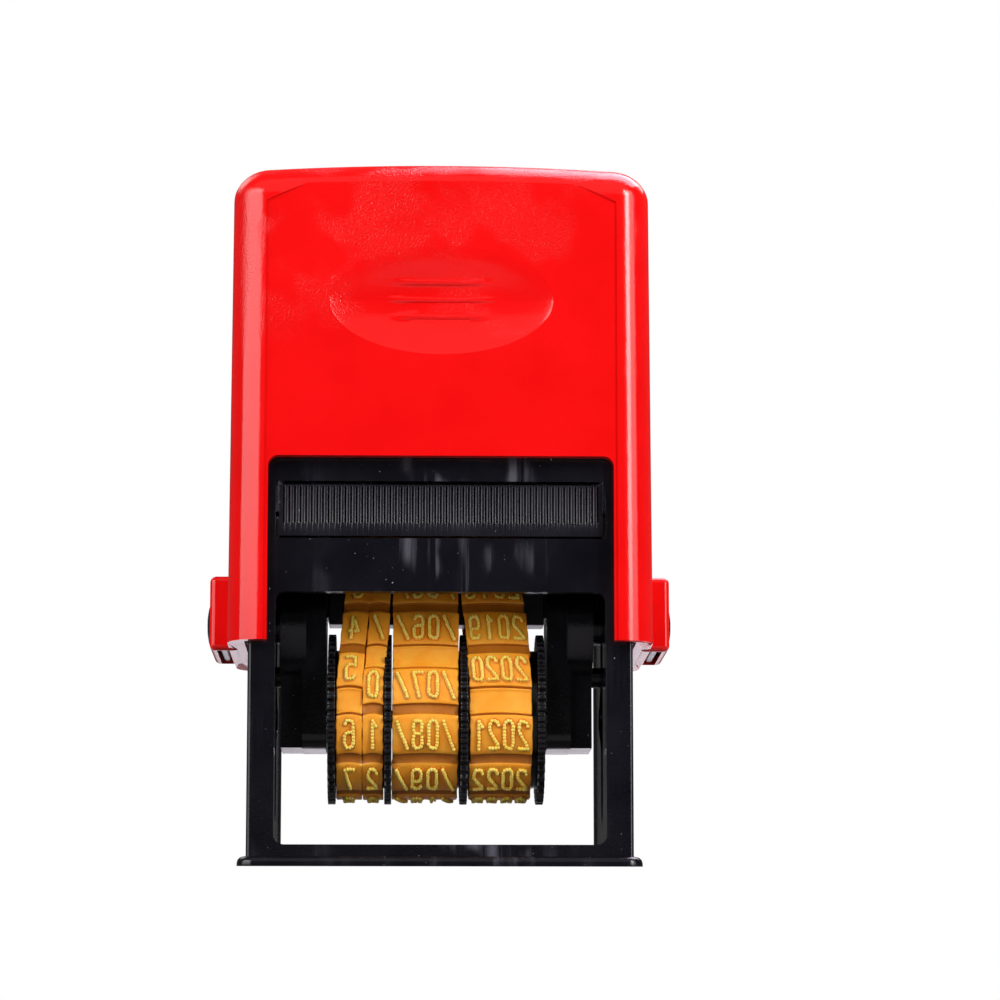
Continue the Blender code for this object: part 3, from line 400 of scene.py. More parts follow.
CAP_BOTTOM = 29.8
CAP_TOP = 95.1
CAP_HALF_X = 28.4
CAP_HALF_Y = 19.6
CAP_TAPER = 0.3
CAP_CORNER = 4.8
CAP_TOP_ROUND = 4.5
CAP_ROUND_STEPS = 12
CAP_CROWN_RADIUS = 368.0
CAP_CROWN_START = 0.85
CROWN_CUTS = range(-21, 22, 3)
TOUCH = 0.01
CAVITY_HALF_X = 26.1
CAVITY_HALF_Y = 17.4
CAVITY_CEILING = 91.9
CAVITY_CORNER = 0.8
WINDOW_HALF_X = 23.05
WINDOW_TOP = 54.5
WINDOW_CORNER = 1.4
PANEL_HALF_X = 23.55
PANEL_DEPTH = 0.25
PANEL_ARCH_RADIUS = 51.4
PANEL_ARCH_TOP = 95.0
DISH_Z = 75.7
DISH_HALF_X = 15.0
DISH_HALF_Z = 7.4
DISH_DEPTH = 1.25
DISH_STEP = 0.02
DISH_TURN = 0.75
DISH_SOFT = 1.75
DISH_CRISP = 0.85
DISH_FULL = 0.85
DISH_FULLER = 0.25
DISH_COLUMNS = 48
DISH_HALF_ROWS = 24
# Height and half length of each rib.
RIB_PLACES = ((78.3, 6.2), (76.0, 7.3), (73.7, 6.1))
RIB_CLEAR = 0.6
RIB_PROUD = 0.26
RIB_OFFSETS = (-0.42, -0.34, -0.24, -0.12, 0.0, 0.12, 0.24, 0.34, 0.42)
EAR = {"root": 27.0, "outer": 31.1, "half_y": 8.6, "bottom": 29.6, "top": 39.7, "round": 0.8}
EAR_POCKET = {"wall": 30.1, "half_y": 7.8, "top": 38.3}
PIVOT_Z = 33.9
# Radius, inner end and outer end of each hole.
PIN_HOLE = (2.9, 24.0, 29.2)
EAR_HOLE = (3.6, 29.3, 33.0)
POST_RADIUS = 3.2
POST_BOTTOM = 87.4
POST_ROOT = 0.5
CUT_MARGIN = 1.0
CAP_EASE = 0.18
CAP_SHARP = 50.0


def cap_body():
    """The cap's outer form: a tapered block with round uprights and a crowned, rounded top."""
    bm = bmesh.new()
    bmesh.ops.create_cube(bm, size=1.0)
    height = CAP_TOP - CAP_BOTTOM
    bmesh.ops.scale(bm, vec=Vector((2 * CAP_HALF_X, 2 * CAP_HALF_Y, height)), verts=bm.verts)
    bmesh.ops.translate(bm, vec=(0, 0, (CAP_TOP + CAP_BOTTOM) / 2), verts=bm.verts)
    for station in CROWN_CUTS:
        bmesh.ops.bisect_plane(bm, geom=bm.verts[:] + bm.edges[:] + bm.faces[:],
                               plane_co=(station, 0, 0), plane_no=(1, 0, 0))
    uprights = [e for e in bm.edges
                if all(abs(v.co.x) > CAP_HALF_X - TOUCH for v in e.verts)
                and abs(e.verts[0].co.z - e.verts[1].co.z) > height / 2]
    bmesh.ops.bevel(bm, geom=uprights, offset=CAP_CORNER, segments=CAP_ROUND_STEPS, profile=0.5,
                    affect="EDGES")
    rim = [e for e in bm.edges if all(v.co.z > CAP_TOP - TOUCH for v in e.verts)
           and not all(f.normal.z > 0.9 for f in e.link_faces)]
    bmesh.ops.bevel(bm, geom=rim, offset=CAP_TOP_ROUND, segments=CAP_ROUND_STEPS, profile=0.5,
                    affect="EDGES")
    for vert in bm.verts:
        climb = (vert.co.z - CAP_BOTTOM) / height
        vert.co.x *= 1 - CAP_TAPER * climb / CAP_HALF_X
        vert.co.y *= 1 - CAP_TAPER * climb / CAP_HALF_Y
        share = min(1.0, max(0.0, (climb - CAP_CROWN_START) / (1 - CAP_CROWN_START)))
        vert.co.z -= share * vert.co.x ** 2 / (2 * CAP_CROWN_RADIUS)
    bmesh.ops.scale(bm, vec=(MM, MM, MM), verts=bm.verts)
    return mesh_of(bm, "cap_body")


def prism(outline, low, high, axis):
    """A closed outline in millimetres, drawn out between two stations along an axis."""
    place_point = {"X": lambda u, v, w: (w, u, v), "Y": lambda u, v, w: (u, w, v),
                   "Z": lambda u, v, w: (u, v, w)}[axis]
    bm = bmesh.new()
    ends = [[bm.verts.new(Vector(place_point(u, v, w)) * MM) for u, v in outline]
            for w in (low, high)]
    bm.faces.new(ends[0])
    bm.faces.new(ends[1])
    for i in range(len(outline)):
        j = (i + 1) % len(outline)
        bm.faces.new((ends[0][i], ends[0][j], ends[1][j], ends[1][i]))
    return mesh_of(bm, "prism")


def round_points(centre, radius, first, last, steps):
    """Points on an arc between two angles in degrees."""
    angles = [math.radians(first + (last - first) * i / steps) for i in range(steps + 1)]
    return [(centre[0] + radius * math.cos(a), centre[1] + radius * math.sin(a)) for a in angles]


def round_rectangle(half_x, low, high, radius, steps=8):
    """A rectangle's outline about x = 0, with round corners."""
    outline = []
    for x, y, start in ((half_x, high, 0), (-half_x, high, 90), (-half_x, low, 180),
                        (half_x, low, 270)):
        inner = (x - math.copysign(radius, x), y - radius if y == high else y + radius)
        outline += round_points(inner, radius, start, start + 90, steps)
    return outline


def circle(radius, z, steps=48):
    """A circle in the (y, z) plane about the pivot's height."""
    return round_points((0.0, z), radius, 0, 360 - 360 / steps, steps - 1)


def panel_face(z):
    """How far the sunk panel's face is from the middle plane at a height."""
    lean = CAP_TAPER * ((z - CAP_BOTTOM) / (CAP_TOP - CAP_BOTTOM) - 0.5)
    return CAP_HALF_Y - CAP_TAPER / 2 - PANEL_DEPTH - lean


def panel_cutter(side):
    """What is taken off the front or back face for the sunk panel with its arched top."""
    half_angle = math.degrees(math.asin(PANEL_HALF_X / PANEL_ARCH_RADIUS))
    outline = [(-PANEL_HALF_X, CAP_BOTTOM - CUT_MARGIN), (PANEL_HALF_X, CAP_BOTTOM - CUT_MARGIN)]
    outline += round_points((0.0, PANEL_ARCH_TOP - PANEL_ARCH_RADIUS), PANEL_ARCH_RADIUS,
                            90 - half_angle, 90 + half_angle, 40)
    mesh = prism(outline, 0.0, 1.0, "Y")
    for vert in mesh.vertices:
        face = panel_face(vert.co.z / MM) * MM
        vert.co.y = side * (face if vert.co.y < MM / 2 else (CAP_HALF_Y + CUT_MARGIN) * MM)
    return turned_out(mesh)


def turned_out(mesh):
    """The same mesh with its faces turned outwards, after its points were moved."""
    bm = bmesh.new()
    bm.from_mesh(mesh)
    bmesh.ops.recalc_face_normals(bm, faces=bm.faces[:])
    bm.to_mesh(mesh)
    bm.free()
    return mesh


def dish_depth(x, z):
    """Depth of the thumb dish: deepest below its middle, soft above, crisp below, ribbed."""
    u = x / DISH_HALF_X
    v = (z - DISH_Z) / DISH_HALF_Z
    inside = max(0.0, 1 - u * u - v * v)
    low = max(0.0, min(1.0, (DISH_TURN - v) / DISH_TURN))
    softness = DISH_SOFT - DISH_CRISP * low
    depth = DISH_DEPTH * inside ** softness * (DISH_FULL + DISH_FULLER * low) + DISH_STEP
    for centre, half in RIB_PLACES:
        across = min(1.0, abs(z - centre) / RIB_OFFSETS[-1])
        along = max(0.0, 1 - (x / half) ** 4)
        depth -= RIB_PROUD * (1 - across ** 3) * along
    return depth


def dish_rows():
    """Heights of the dish's rows: even ones, and close ones over each rib."""
    ribs = [centre + offset for centre, _ in RIB_PLACES for offset in RIB_OFFSETS]
    even = [DISH_Z + DISH_HALF_Z * math.sin(math.pi / 2 * k / DISH_HALF_ROWS)
            for k in range(-DISH_HALF_ROWS, DISH_HALF_ROWS + 1)]
    clear = [z for z in even if all(abs(z - centre) > RIB_CLEAR for centre, _ in RIB_PLACES)]
    return sorted(ribs + clear)


def dish_cutter(side):
    """What is hollowed out for the thumb dish: its floor is a grid that fills an ellipse."""
    rows = dish_rows()
    bm = bmesh.new()
    floor = []
    lid = []
    for z in rows:
        reach = DISH_HALF_X * math.sqrt(max(0.0, 1 - ((z - DISH_Z) / DISH_HALF_Z) ** 2))
        if reach < TOUCH:
            spots = [0.0]
        else:
            spots = [reach * math.sin(math.pi * (k / DISH_COLUMNS - 0.5))
                     for k in range(DISH_COLUMNS + 1)]
        floor.append([bm.verts.new((x * MM, side * (panel_face(z) - dish_depth(x, z)) * MM,
                                    z * MM)) for x in spots])
        ends = spots if len(spots) == 1 else (spots[0], spots[-1])
        lid.append([bm.verts.new((x * MM, side * (CAP_HALF_Y + CUT_MARGIN) * MM, z * MM))
                    for x in ends])
    for lower, upper in zip(floor, floor[1:]):
        fill_strip(bm, lower, upper)
    for lower, upper in zip(lid, lid[1:]):
        fill_strip(bm, lower, upper)
    for lower, upper, lid_low, lid_high in zip(floor, floor[1:], lid, lid[1:]):
        for end in (0, -1):
            ring = [lower[end], upper[end], lid_high[end], lid_low[end]]
            bm.faces.new(list(dict.fromkeys(ring)))
    return mesh_of(bm, "dish")


def fill_strip(bm, lower, upper):
    """Faces between two rows of points; either row may be a single point."""
    if len(lower) == 1 or len(upper) == 1:
        tip, row = (lower[0], upper) if len(lower) == 1 else (upper[0], lower)
        for a, b in zip(row, row[1:]):
            bm.faces.new((tip, a, b))
        return
    for i in range(len(lower) - 1):
        bm.faces.new((lower[i], lower[i + 1], upper[i + 1], upper[i]))


def ear_block(side):
    """An ear's outside: a block with eased edges at a lower side edge of the cap."""
    low, high = sorted((side * EAR["root"], side * EAR["outer"]))
    mesh = block_mesh(Vector((low, -EAR["half_y"], EAR["bottom"])) * MM,
                      Vector((high, EAR["half_y"], EAR["top"])) * MM)
    bm = bmesh.new()
    bm.from_mesh(mesh)
    bmesh.ops.bevel(bm, geom=bm.edges[:], offset=EAR["round"] * MM, segments=5, profile=0.5,
                    affect="EDGES")
    bm.to_mesh(mesh)
    bm.free()
    return mesh


def make_cap():
    """The red cap, finer than the CAD's: round uprights, sunk panels, ribbed thumb dishes."""
    cap = new_object("cap_finish", cap_body(), RED)
    for side in (-1, 1):
        carve(cap, new_object("cutter", panel_cutter(side)))
        carve(cap, new_object("cutter", ear_block(side)), "UNION")
    hollow = round_rectangle(CAVITY_HALF_X, -CAVITY_HALF_Y, CAVITY_HALF_Y, CAVITY_CORNER)
    cavity = prism(hollow, CAP_BOTTOM - CUT_MARGIN, CAVITY_CEILING, "Z")
    carve(cap, new_object("cutter", cavity))
    window = round_rectangle(WINDOW_HALF_X, CAP_BOTTOM - 2 * WINDOW_CORNER, WINDOW_TOP,
                             WINDOW_CORNER)
    reach = CAP_HALF_Y + CUT_MARGIN
    carve(cap, new_object("cutter", prism(window, -reach, reach, "Y")))
    for side in (-1, 1):
        low, high = sorted((side * CAP_HALF_X, side * EAR_POCKET["wall"]))
        pocket = block_mesh(Vector((low, -EAR_POCKET["half_y"], EAR["bottom"] - CUT_MARGIN)) * MM,
                            Vector((high, EAR_POCKET["half_y"], EAR_POCKET["top"])) * MM)
        carve(cap, new_object("cutter", pocket))
        for radius, inner, outer in (PIN_HOLE, EAR_HOLE):
            low, high = sorted((side * inner, side * outer))
            hole = prism(circle(radius, PIVOT_Z), low, high, "X")
            carve(cap, new_object("cutter", hole))
    ring = round_points((0.0, 0.0), POST_RADIUS, 0, 350, 35)
    post = prism(ring, POST_BOTTOM, CAVITY_CEILING + POST_ROOT, "Z")
    carve(cap, new_object("cutter", post), "UNION")
    soften(cap, CAP_EASE, 3, 28.0, weighted=False)
    for side in (-1, 1):
        carve(cap, new_object("cutter", dish_cutter(side)))
    cap.data.shade_smooth()
    cap.data.set_sharp_from_angle(angle=math.radians(CAP_SHARP))
    weigh_normals(cap)
    adopt(cap, "cap_shell")


# ---------------------------------------------------------------- ink cartridge

RIB_PITCH = 0.75
RIB_DEPTH = 0.38
RIB_MARGIN = 0.25
RIB_RUN_IN = 0.08
RIB_FOOT = (1.7, 1.85)
RIB_HEAD = (0.35, 0.2)
WELL_MARGIN = 0.4
WELL_DEEPER = 1.0
TRAY_SHARP = 40.0
# Share of the pitch, and depth of the groove there from 0 to 1.
RIB_SHAPE = ((0.0, 1.0), (0.10, 0.55), (0.18, 0.15), (0.32, 0.0), (0.68, 0.0), (0.82, 0.15),
             (0.90, 0.55))


def rib_columns(low, high):
    """Stations along X with the depth of the groove at each, from 0 to 1."""
    count = int((high - low - 2 * RIB_MARGIN) / RIB_PITCH)
    start = (low + high - count * RIB_PITCH) / 2
    columns = [(low, 0.0), (start - RIB_RUN_IN, 0.0)]
    for i in range(count + 1):
        for share, depth in RIB_SHAPE:
            if i < count or share == 0.0:
                columns.append((start + (i + share) * RIB_PITCH, depth))
    return columns + [(start + count * RIB_PITCH + RIB_RUN_IN, 0.0), (high, 0.0)]


def make_cartridge():
    """The ink cartridge: a block with finger ribs at both ends and a well for the felt."""
    low, high = millimetres("pad_tray")
    rows = ((low.z, 0.0), (low.z + RIB_FOOT[0], 0.0), (low.z + RIB_FOOT[1], 1.0),
            (high.z - RIB_HEAD[0], 1.0), (high.z - RIB_HEAD[1], 0.0), (high.z, 0.0))
    columns = rib_columns(low.x, high.x)
    bm = bmesh.new()
    walls = []
    for side in (-1, 1):
        face = low.y if side < 0 else high.y
        walls.append([[bm.verts.new(Vector((x, face - side * RIB_DEPTH * groove * open_, z)) * MM)
                       for x, groove in columns] for z, open_ in rows])
    for side, wall in zip((-1, 1), walls):
        for lower, upper in zip(wall, wall[1:]):
            for i in range(len(columns) - 1):
                corners = [lower[i], lower[i + 1], upper[i + 1], upper[i]]
                bm.faces.new(corners if side < 0 else corners[::-1])
    front, back = walls
    bm.faces.new(front[-1] + back[-1][::-1])
    bm.faces.new(back[0] + front[0][::-1])
    bm.faces.new([row[-1] for row in front] + [row[-1] for row in back][::-1])
    bm.faces.new([row[0] for row in back] + [row[0] for row in front][::-1])
    tray = new_object("cartridge", mesh_of(bm, "cartridge"), TRAY_BLACK)
    felt_low, felt_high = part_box("ink_felt")
    margin = Vector((WELL_MARGIN, WELL_MARGIN, 0.0)) * MM
    well = block_mesh(felt_low - margin - Vector((0, 0, WELL_DEEPER)) * MM,
                      felt_high + margin + Vector((0, 0, WELL_MARGIN)) * MM)
    carve(tray, new_object("cutter", well))
    tray.data.shade_smooth()
    tray.data.set_sharp_from_angle(angle=math.radians(TRAY_SHARP))
    adopt(tray, "pad_tray")


make_cap()
make_cartridge()


# ---------------------------------------------------------------- type bands

WHEEL_Z = 21.1
PLATEN_CORNER = (1.7, 19.9)
CORNER_R = 1.1
NEUTRAL = 10.0
INNER_HEIGHT = -0.2
BASE_HEIGHT = 0.5
BLOCKS = 12
BLOCK_RISE = 0.45
RISE_SPREAD = 0.05
TIP_SPREAD = 0.06
SIDE_SPREAD = 0.10
BLOCK_CROWN = 0.02
WIDE_GAP = 2.3
BLOCK_HALF = 2.45
BLOCK_STEPS = 14
CORNER_EASE = 0.10
EDGE_BOW = 0.22
EDGE_WAVE = 0.035
WAVE_RATE = 2.3
BAND_COLUMNS = 10
BAND_SHARP = 42.0
GLYPH_HIGH = 3.35
GLYPH_WIDE = 1.15
BEAD_STEP = 0.40
BEAD_NEAREST = 0.6
BEAD_NUDGE = 0.03
BEAD_SWELL = (0.88, 1.10)
# Radius and height of each ring of a bead, from its foot to its dome.
BEAD_PROFILE = ((0.46, -0.06), (0.43, 0.02), (0.245, 0.06), (0.23, 0.27), (0.195, 0.39),
                (0.11, 0.46))
# Rings up from a bead's foot that take the darker foot colour, painted shade.
BEAD_FOOT_RINGS = 2
BEAD_TOP = 0.48
BEAD_SIDES = 9
# A narrow gap's floor: share of the way across, and height.
NARROW_GAP = ((0.07, -0.04), (0.45, 0.0), (0.80, 0.10), (0.94, 0.30))
# A wide gap's floor from either block: distance, and height.
WIDE_PROFILE = ((0.09, -0.06), (0.20, -0.06), (0.30, 0.24), (0.48, 0.24), (0.62, 0.08),
                (0.90, 0.03), (1.25, 0.01))
LEAN_LOW = 25.5
LEAN_RUN = 16.5
# Material slots: the band's own ochre; the type, painted lighter as a highlight; the bead feet,
# painted darker as shade; the narrow gaps and grooves, painted darker as shade.
GROUND, TYPE, FOOT, GAP = range(4)

# Each character's strokes, in shares of its width and height.
STROKES = {
    "0": (((.22, 0), (.78, 0), (1, .14), (1, .86), (.78, 1), (.22, 1), (0, .86), (0, .14),
           (.22, 0)),),
    "1": (((.18, .80), (.55, 1), (.55, 0)),),
    "2": (((0, .84), (.22, 1), (.78, 1), (1, .86), (1, .62), (0, .10), (0, 0), (1, 0)),),
    "3": (((0, .86), (.22, 1), (.78, 1), (1, .86), (1, .64), (.78, .52), (1, .40), (1, .14),
           (.78, 0), (.22, 0), (0, .14)), ((.42, .52), (.60, .52))),
    "4": (((.78, 0), (.78, 1), (0, .30), (1, .30)),),
    "5": (((1, 1), (.06, 1), (0, .56), (.26, .64), (.78, .64), (1, .50), (1, .14), (.78, 0),
           (.22, 0), (0, .14)),),
    "6": (((.94, .88), (.74, 1), (.22, 1), (0, .86), (0, .14), (.22, 0), (.78, 0), (1, .14),
           (1, .44), (.78, .57), (.22, .57)),),
    "7": (((0, 1), (1, 1), (.36, 0)),),
    "8": (((.24, .53), (0, .67), (0, .86), (.22, 1), (.78, 1), (1, .86), (1, .67), (.76, .53),
           (.24, .53), (0, .39), (0, .14), (.22, 0), (.78, 0), (1, .14), (1, .39), (.76, .53)),),
    "9": (((.06, .12), (.26, 0), (.78, 0), (1, .14), (1, .86), (.78, 1), (.22, 1), (0, .86),
           (0, .56), (.22, .43), (.78, .43)),),
    "-": (((.05, .5), (.95, .5)),),
    "/": (((-.10, 0), (1.10, 1)),),
}

# Each band: edges, blocks before the wide gap, sideways lean at the platen, spacing of its
# characters, and the twelve blocks in order down the front from the platen.
BANDS = {
    "units": (-13.9, -10.45, 4, 1.45, 0.0, "2 3 4 5 6 7 8 9 - / 0 1"),
    "tens": (-10.35, -7.6, 3, 1.35, 0.0, "3 - / 0 1 2 3 - / 0 1 2"),
    "month": (-6.4, 2.45, 3, 0.2, 2.08,
              "/04/ /05/ /06/ /07/ /08/ /09/ /10/ /11/ /12/ /01/ /02/ /03/"),
    "year": (4.1, 12.45, 4, -1.45, 1.97,
             "2017 2018 2019 2020 2021 2022 2023 2024 2025 2026 2015 2016"),
}


class Loop:
    """The closed line a band follows about the wheel's axis: drum, two runs and the platen.

    The length s runs on the neutral line from the middle of the platen down the front.
    """

    def __init__(self):
        y, z = PLATEN_CORNER
        reach = math.hypot(y, z)
        self.tilt = math.asin((NEUTRAL - CORNER_R) / reach) - math.atan2(y, z)
        self.bend = CORNER_R * (math.pi / 2 - self.tilt)
        self.run = math.sqrt(reach ** 2 - (NEUTRAL - CORNER_R) ** 2)
        self.half = y + self.bend + self.run + NEUTRAL * (math.pi / 2 + self.tilt)
        self.whole = 2 * self.half

    def at(self, s, height):
        """The point at length s, raised by height over the neutral line, as (y, z)."""
        s = s % self.whole
        side = -1.0
        if s > self.half:
            s, side = self.whole - s, 1.0
        flat, top = PLATEN_CORNER
        if s <= flat:
            y, z, angle = s, top + CORNER_R, math.pi / 2
        elif s <= flat + self.bend + self.run:
            bent = min(s - flat, self.bend)
            down = s - flat - bent
            angle = math.pi / 2 - bent / CORNER_R
            y = flat + CORNER_R * math.cos(angle) + down * math.sin(angle)
            z = top + CORNER_R * math.sin(angle) - down * math.cos(angle)
        else:
            angle = self.tilt - (s - flat - self.bend - self.run) / NEUTRAL
            y, z = NEUTRAL * math.cos(angle), NEUTRAL * math.sin(angle)
        return side * (y + height * math.cos(angle)), z + height * math.sin(angle) + WHEEL_Z


LOOP = Loop()


def block_middles(before_gap):
    """Lengths of the twelve blocks' middles, the first one on the platen."""
    pitch = (LOOP.whole - 2 * WIDE_GAP) / BLOCKS
    return [i * pitch + WIDE_GAP * ((i >= before_gap) + (i >= before_gap + BLOCKS // 2))
            for i in range(BLOCKS)]


def band_stations(before_gap, rng):
    """(length, height, block, shaded) round the band: raised blocks and gaps between.

    shaded says that the stretch after the station is a narrow gap or a groove, coloured darker
    there as painted shade.
    """
    stations = []
    middles = block_middles(before_gap)
    for i, middle in enumerate(middles):
        rise = BASE_HEIGHT + BLOCK_RISE + rng.uniform(-RISE_SPREAD, RISE_SPREAD)
        tip = rng.uniform(-TIP_SPREAD, TIP_SPREAD)
        low, high = middle - BLOCK_HALF, middle + BLOCK_HALF
        stations.append((low, rise - CORNER_EASE - tip, i, False))
        for k in range(BLOCK_STEPS + 1):
            share = k / BLOCK_STEPS
            s = low + CORNER_EASE + (high - low - 2 * CORNER_EASE) * share
            height = rise + tip * (2 * share - 1) - BLOCK_CROWN * (2 * share - 1) ** 2
            stations.append((s, height, i, False))
        stations.append((high, rise - CORNER_EASE + tip, i, True))
        turn = LOOP.whole if i == BLOCKS - 1 else 0.0
        after = middles[(i + 1) % BLOCKS] + turn - BLOCK_HALF
        room = after - high
        if room > WIDE_GAP:
            near = [(high + down, BASE_HEIGHT + up, i, k < 1)
                    for k, (down, up) in enumerate(WIDE_PROFILE)]
            far = [(after - down, BASE_HEIGHT + up, i, k > len(WIDE_PROFILE) - 3)
                   for k, (down, up) in enumerate(WIDE_PROFILE[::-1])]
            stations += near + far
        else:
            stations += [(high + room * share, BASE_HEIGHT + up, i, share < NARROW_GAP[-1][0])
                         for share, up in NARROW_GAP]
    return stations


def sideways(z, lean):
    """How far the band stands to one side at a height, in millimetres."""
    return lean * max(0.0, min(1.0, (z - LEAN_LOW) / LEAN_RUN))


def stroke_points(strokes):
    """Evenly spaced bead places along a glyph's strokes, in glyph millimetres about its middle."""
    places = []
    for stroke in strokes:
        line = [((x - 0.5) * GLYPH_WIDE, (y - 0.5) * GLYPH_HIGH) for x, y in stroke]
        total = sum(math.dist(a, b) for a, b in zip(line, line[1:]))
        count = max(1, round(total / BEAD_STEP))
        travelled = 0.0
        targets = [total * k / count for k in range(count + 1)]
        for a, b in zip(line, line[1:]):
            length = math.dist(a, b)
            while targets and targets[0] <= travelled + length + 1e-9:
                share = (targets.pop(0) - travelled) / length
                spot = (a[0] + (b[0] - a[0]) * share, a[1] + (b[1] - a[1]) * share)
                if all(math.dist(spot, other) > BEAD_NEAREST * BEAD_STEP for other in places):
                    places.append(spot)
            travelled += length
    return places


def add_bead(bm, spot, raise_to, swell):
    """A raised dot of type: a short pillar with a domed top, its foot sunk in the block."""
    rings = []
    for radius, height in BEAD_PROFILE:
        ring = []
        for k in range(BEAD_SIDES):
            turn = 2 * math.pi * k / BEAD_SIDES
            across = radius * swell * math.cos(turn)
            along = radius * swell * math.sin(turn)
            ring.append(bm.verts.new(raise_to(spot[0] + across, spot[1] + along, height)))
        rings.append(ring)
    tip = bm.verts.new(raise_to(spot[0], spot[1], BEAD_TOP))
    # The foot rings take the darker foot colour, painted shade; the rings above and the dome take
    # the lighter type colour, a painted highlight.
    bm.faces.new(rings[0][::-1]).material_index = FOOT
    for level, (lower, upper) in enumerate(zip(rings, rings[1:])):
        for k in range(BEAD_SIDES):
            after = (k + 1) % BEAD_SIDES
            face = bm.faces.new((lower[k], lower[after], upper[after], upper[k]))
            face.material_index = FOOT if level < BEAD_FOOT_RINGS else TYPE
    for k in range(BEAD_SIDES):
        face = bm.faces.new((rings[-1][k], rings[-1][(k + 1) % BEAD_SIDES], tip))
        face.material_index = TYPE


def make_band(name):
    """A rubber band with twelve type blocks and beaded, mirror-written characters."""
    left, right, before_gap, lean, spacing, texts = BANDS[name]
    rng = random.Random(f"band {name}")
    stations = band_stations(before_gap, rng)
    jitter = [rng.uniform(-SIDE_SPREAD, SIDE_SPREAD) for _ in range(BLOCKS)]
    middle_x = (left + right) / 2
    half_x = (right - left) / 2
    shares = [-1.0] + [2 * k / BAND_COLUMNS - 1 for k in range(BAND_COLUMNS + 1)] + [1.0]
    bm = bmesh.new()
    rings = []
    for s, height, block, _ in stations:
        shift = sideways(LOOP.at(s, height)[1], lean) + jitter[block]
        wave = EDGE_WAVE * math.sin(s * WAVE_RATE + block)
        ring = []
        for k, share in enumerate(shares):
            outer = k in (0, len(shares) - 1)
            inset = 0.0 if outer else CORNER_EASE
            h = height - CORNER_EASE if outer else height
            x = middle_x + share * (half_x - inset + wave)
            y, z = LOOP.at(s - EDGE_BOW * (1 - share * share), h)
            ring.append(bm.verts.new(Vector((x + shift, y, z)) * MM))
        for share in (1.0, -1.0):
            y, z = LOOP.at(s, INNER_HEIGHT)
            ring.append(bm.verts.new(Vector((middle_x + share * half_x + shift, y, z)) * MM))
        rings.append(ring)
    for station, ring, after in zip(stations, rings, rings[1:] + rings[:1]):
        for k in range(len(ring)):
            m = (k + 1) % len(ring)
            face = bm.faces.new((ring[k], ring[m], after[m], after[k]))
            # Narrow gaps and grooves take the darker gap colour: painted shade.
            face.material_index = GAP if station[3] else GROUND
    bmesh.ops.recalc_face_normals(bm, faces=bm.faces[:])
    for block, (middle, text) in enumerate(zip(block_middles(before_gap), texts.split())):
        for i, letter in enumerate(text):
            centre = middle_x + ((len(text) - 1) / 2 - i) * spacing

            def raise_to(across, up, height, centre=centre, middle=middle, block=block):
                """A glyph point, mirrored across and with its top towards the platen."""
                bow = EDGE_BOW * (1 - ((centre - across - middle_x) / half_x) ** 2)
                y, z = LOOP.at(middle - up - bow, BASE_HEIGHT + BLOCK_RISE + height)
                x = centre - across + sideways(z, lean) + jitter[block]
                return Vector((x, y, z)) * MM

            for spot in stroke_points(STROKES[letter]):
                nudged = (spot[0] + rng.uniform(-BEAD_NUDGE, BEAD_NUDGE),
                          spot[1] + rng.uniform(-BEAD_NUDGE, BEAD_NUDGE))
                add_bead(bm, nudged, raise_to, rng.uniform(*BEAD_SWELL))
    mesh = bpy.data.meshes.new(f"band_{name}_type")
    bm.to_mesh(mesh)
    bm.free()
    mesh.update()
    # Slots: the band's own ochre, the type's painted highlight, the bead feet's painted shade and
    # the gaps' painted shade.
    band = new_object(f"band_{name}_type", mesh, BAND_OCHRE, TYPE_PAINTED_HIGHLIGHT, TYPE_FOOT_PAINTED_SHADE,
                      GAP_PAINTED_SHADE)
    mesh.shade_smooth()
    mesh.set_sharp_from_angle(angle=math.radians(BAND_SHARP))
    adopt(band, f"band_{name}")


for name in BANDS:
    make_band(name)


# ---------------------------------------------------------------- spring and felt

SPRING_RADIUS = 4.3
WIRE_RADIUS = 0.45
SPRING_TURNS = 9
CLOSED_SHARE = 0.034
TURN_STEPS = 32
WIRE_SIDES = 10
FELT_CUTS = 30
FELT_EDGE = 0.94
FELT_EDGE_RUN = 0.06
FELT_FALL = 0.22
FELT_FIBRE = 0.012
FELT_TUCK = 0.012


def spring_climb(share):
    """Height share along the wire: closed end turns and an even pitch between."""
    end = 1.0 / SPRING_TURNS
    if share < end:
        return CLOSED_SHARE * share / end
    if share > 1 - end:
        return 1 - CLOSED_SHARE * (1 - share) / end
    return CLOSED_SHARE + (1 - 2 * CLOSED_SHARE) * (share - end) / (1 - 2 * end)


def make_spring():
    """The return spring: round wire wound between the deck and the cap's ceiling."""
    low, high = millimetres("return_spring")
    bottom, top = low.z + WIRE_RADIUS, high.z - WIRE_RADIUS
    count = SPRING_TURNS * TURN_STEPS
    bm = bmesh.new()
    rings = []
    for i in range(count + 1):
        turn = 2 * math.pi * i / TURN_STEPS
        z = bottom + (top - bottom) * spring_climb(i / count)
        outward = Vector((math.cos(turn), math.sin(turn), 0.0))
        middle = outward * SPRING_RADIUS + Vector((0.0, 0.0, z))
        ring = []
        for k in range(WIRE_SIDES):
            angle = 2 * math.pi * k / WIRE_SIDES
            offset = outward * math.cos(angle) + Vector((0.0, 0.0, math.sin(angle)))
            ring.append(bm.verts.new((middle + offset * WIRE_RADIUS) * MM))
        rings.append(ring)
    for ring, after in zip(rings, rings[1:]):
        for k in range(WIRE_SIDES):
            m = (k + 1) % WIRE_SIDES
            bm.faces.new((ring[k], ring[m], after[m], after[k]))
    bm.faces.new(rings[0][::-1])
    bm.faces.new(rings[-1])
    spring = new_object("spring_wire", mesh_of(bm, "spring_wire"), STEEL)
    spring.data.shade_smooth()
    adopt(spring, "return_spring")
    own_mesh(spring)


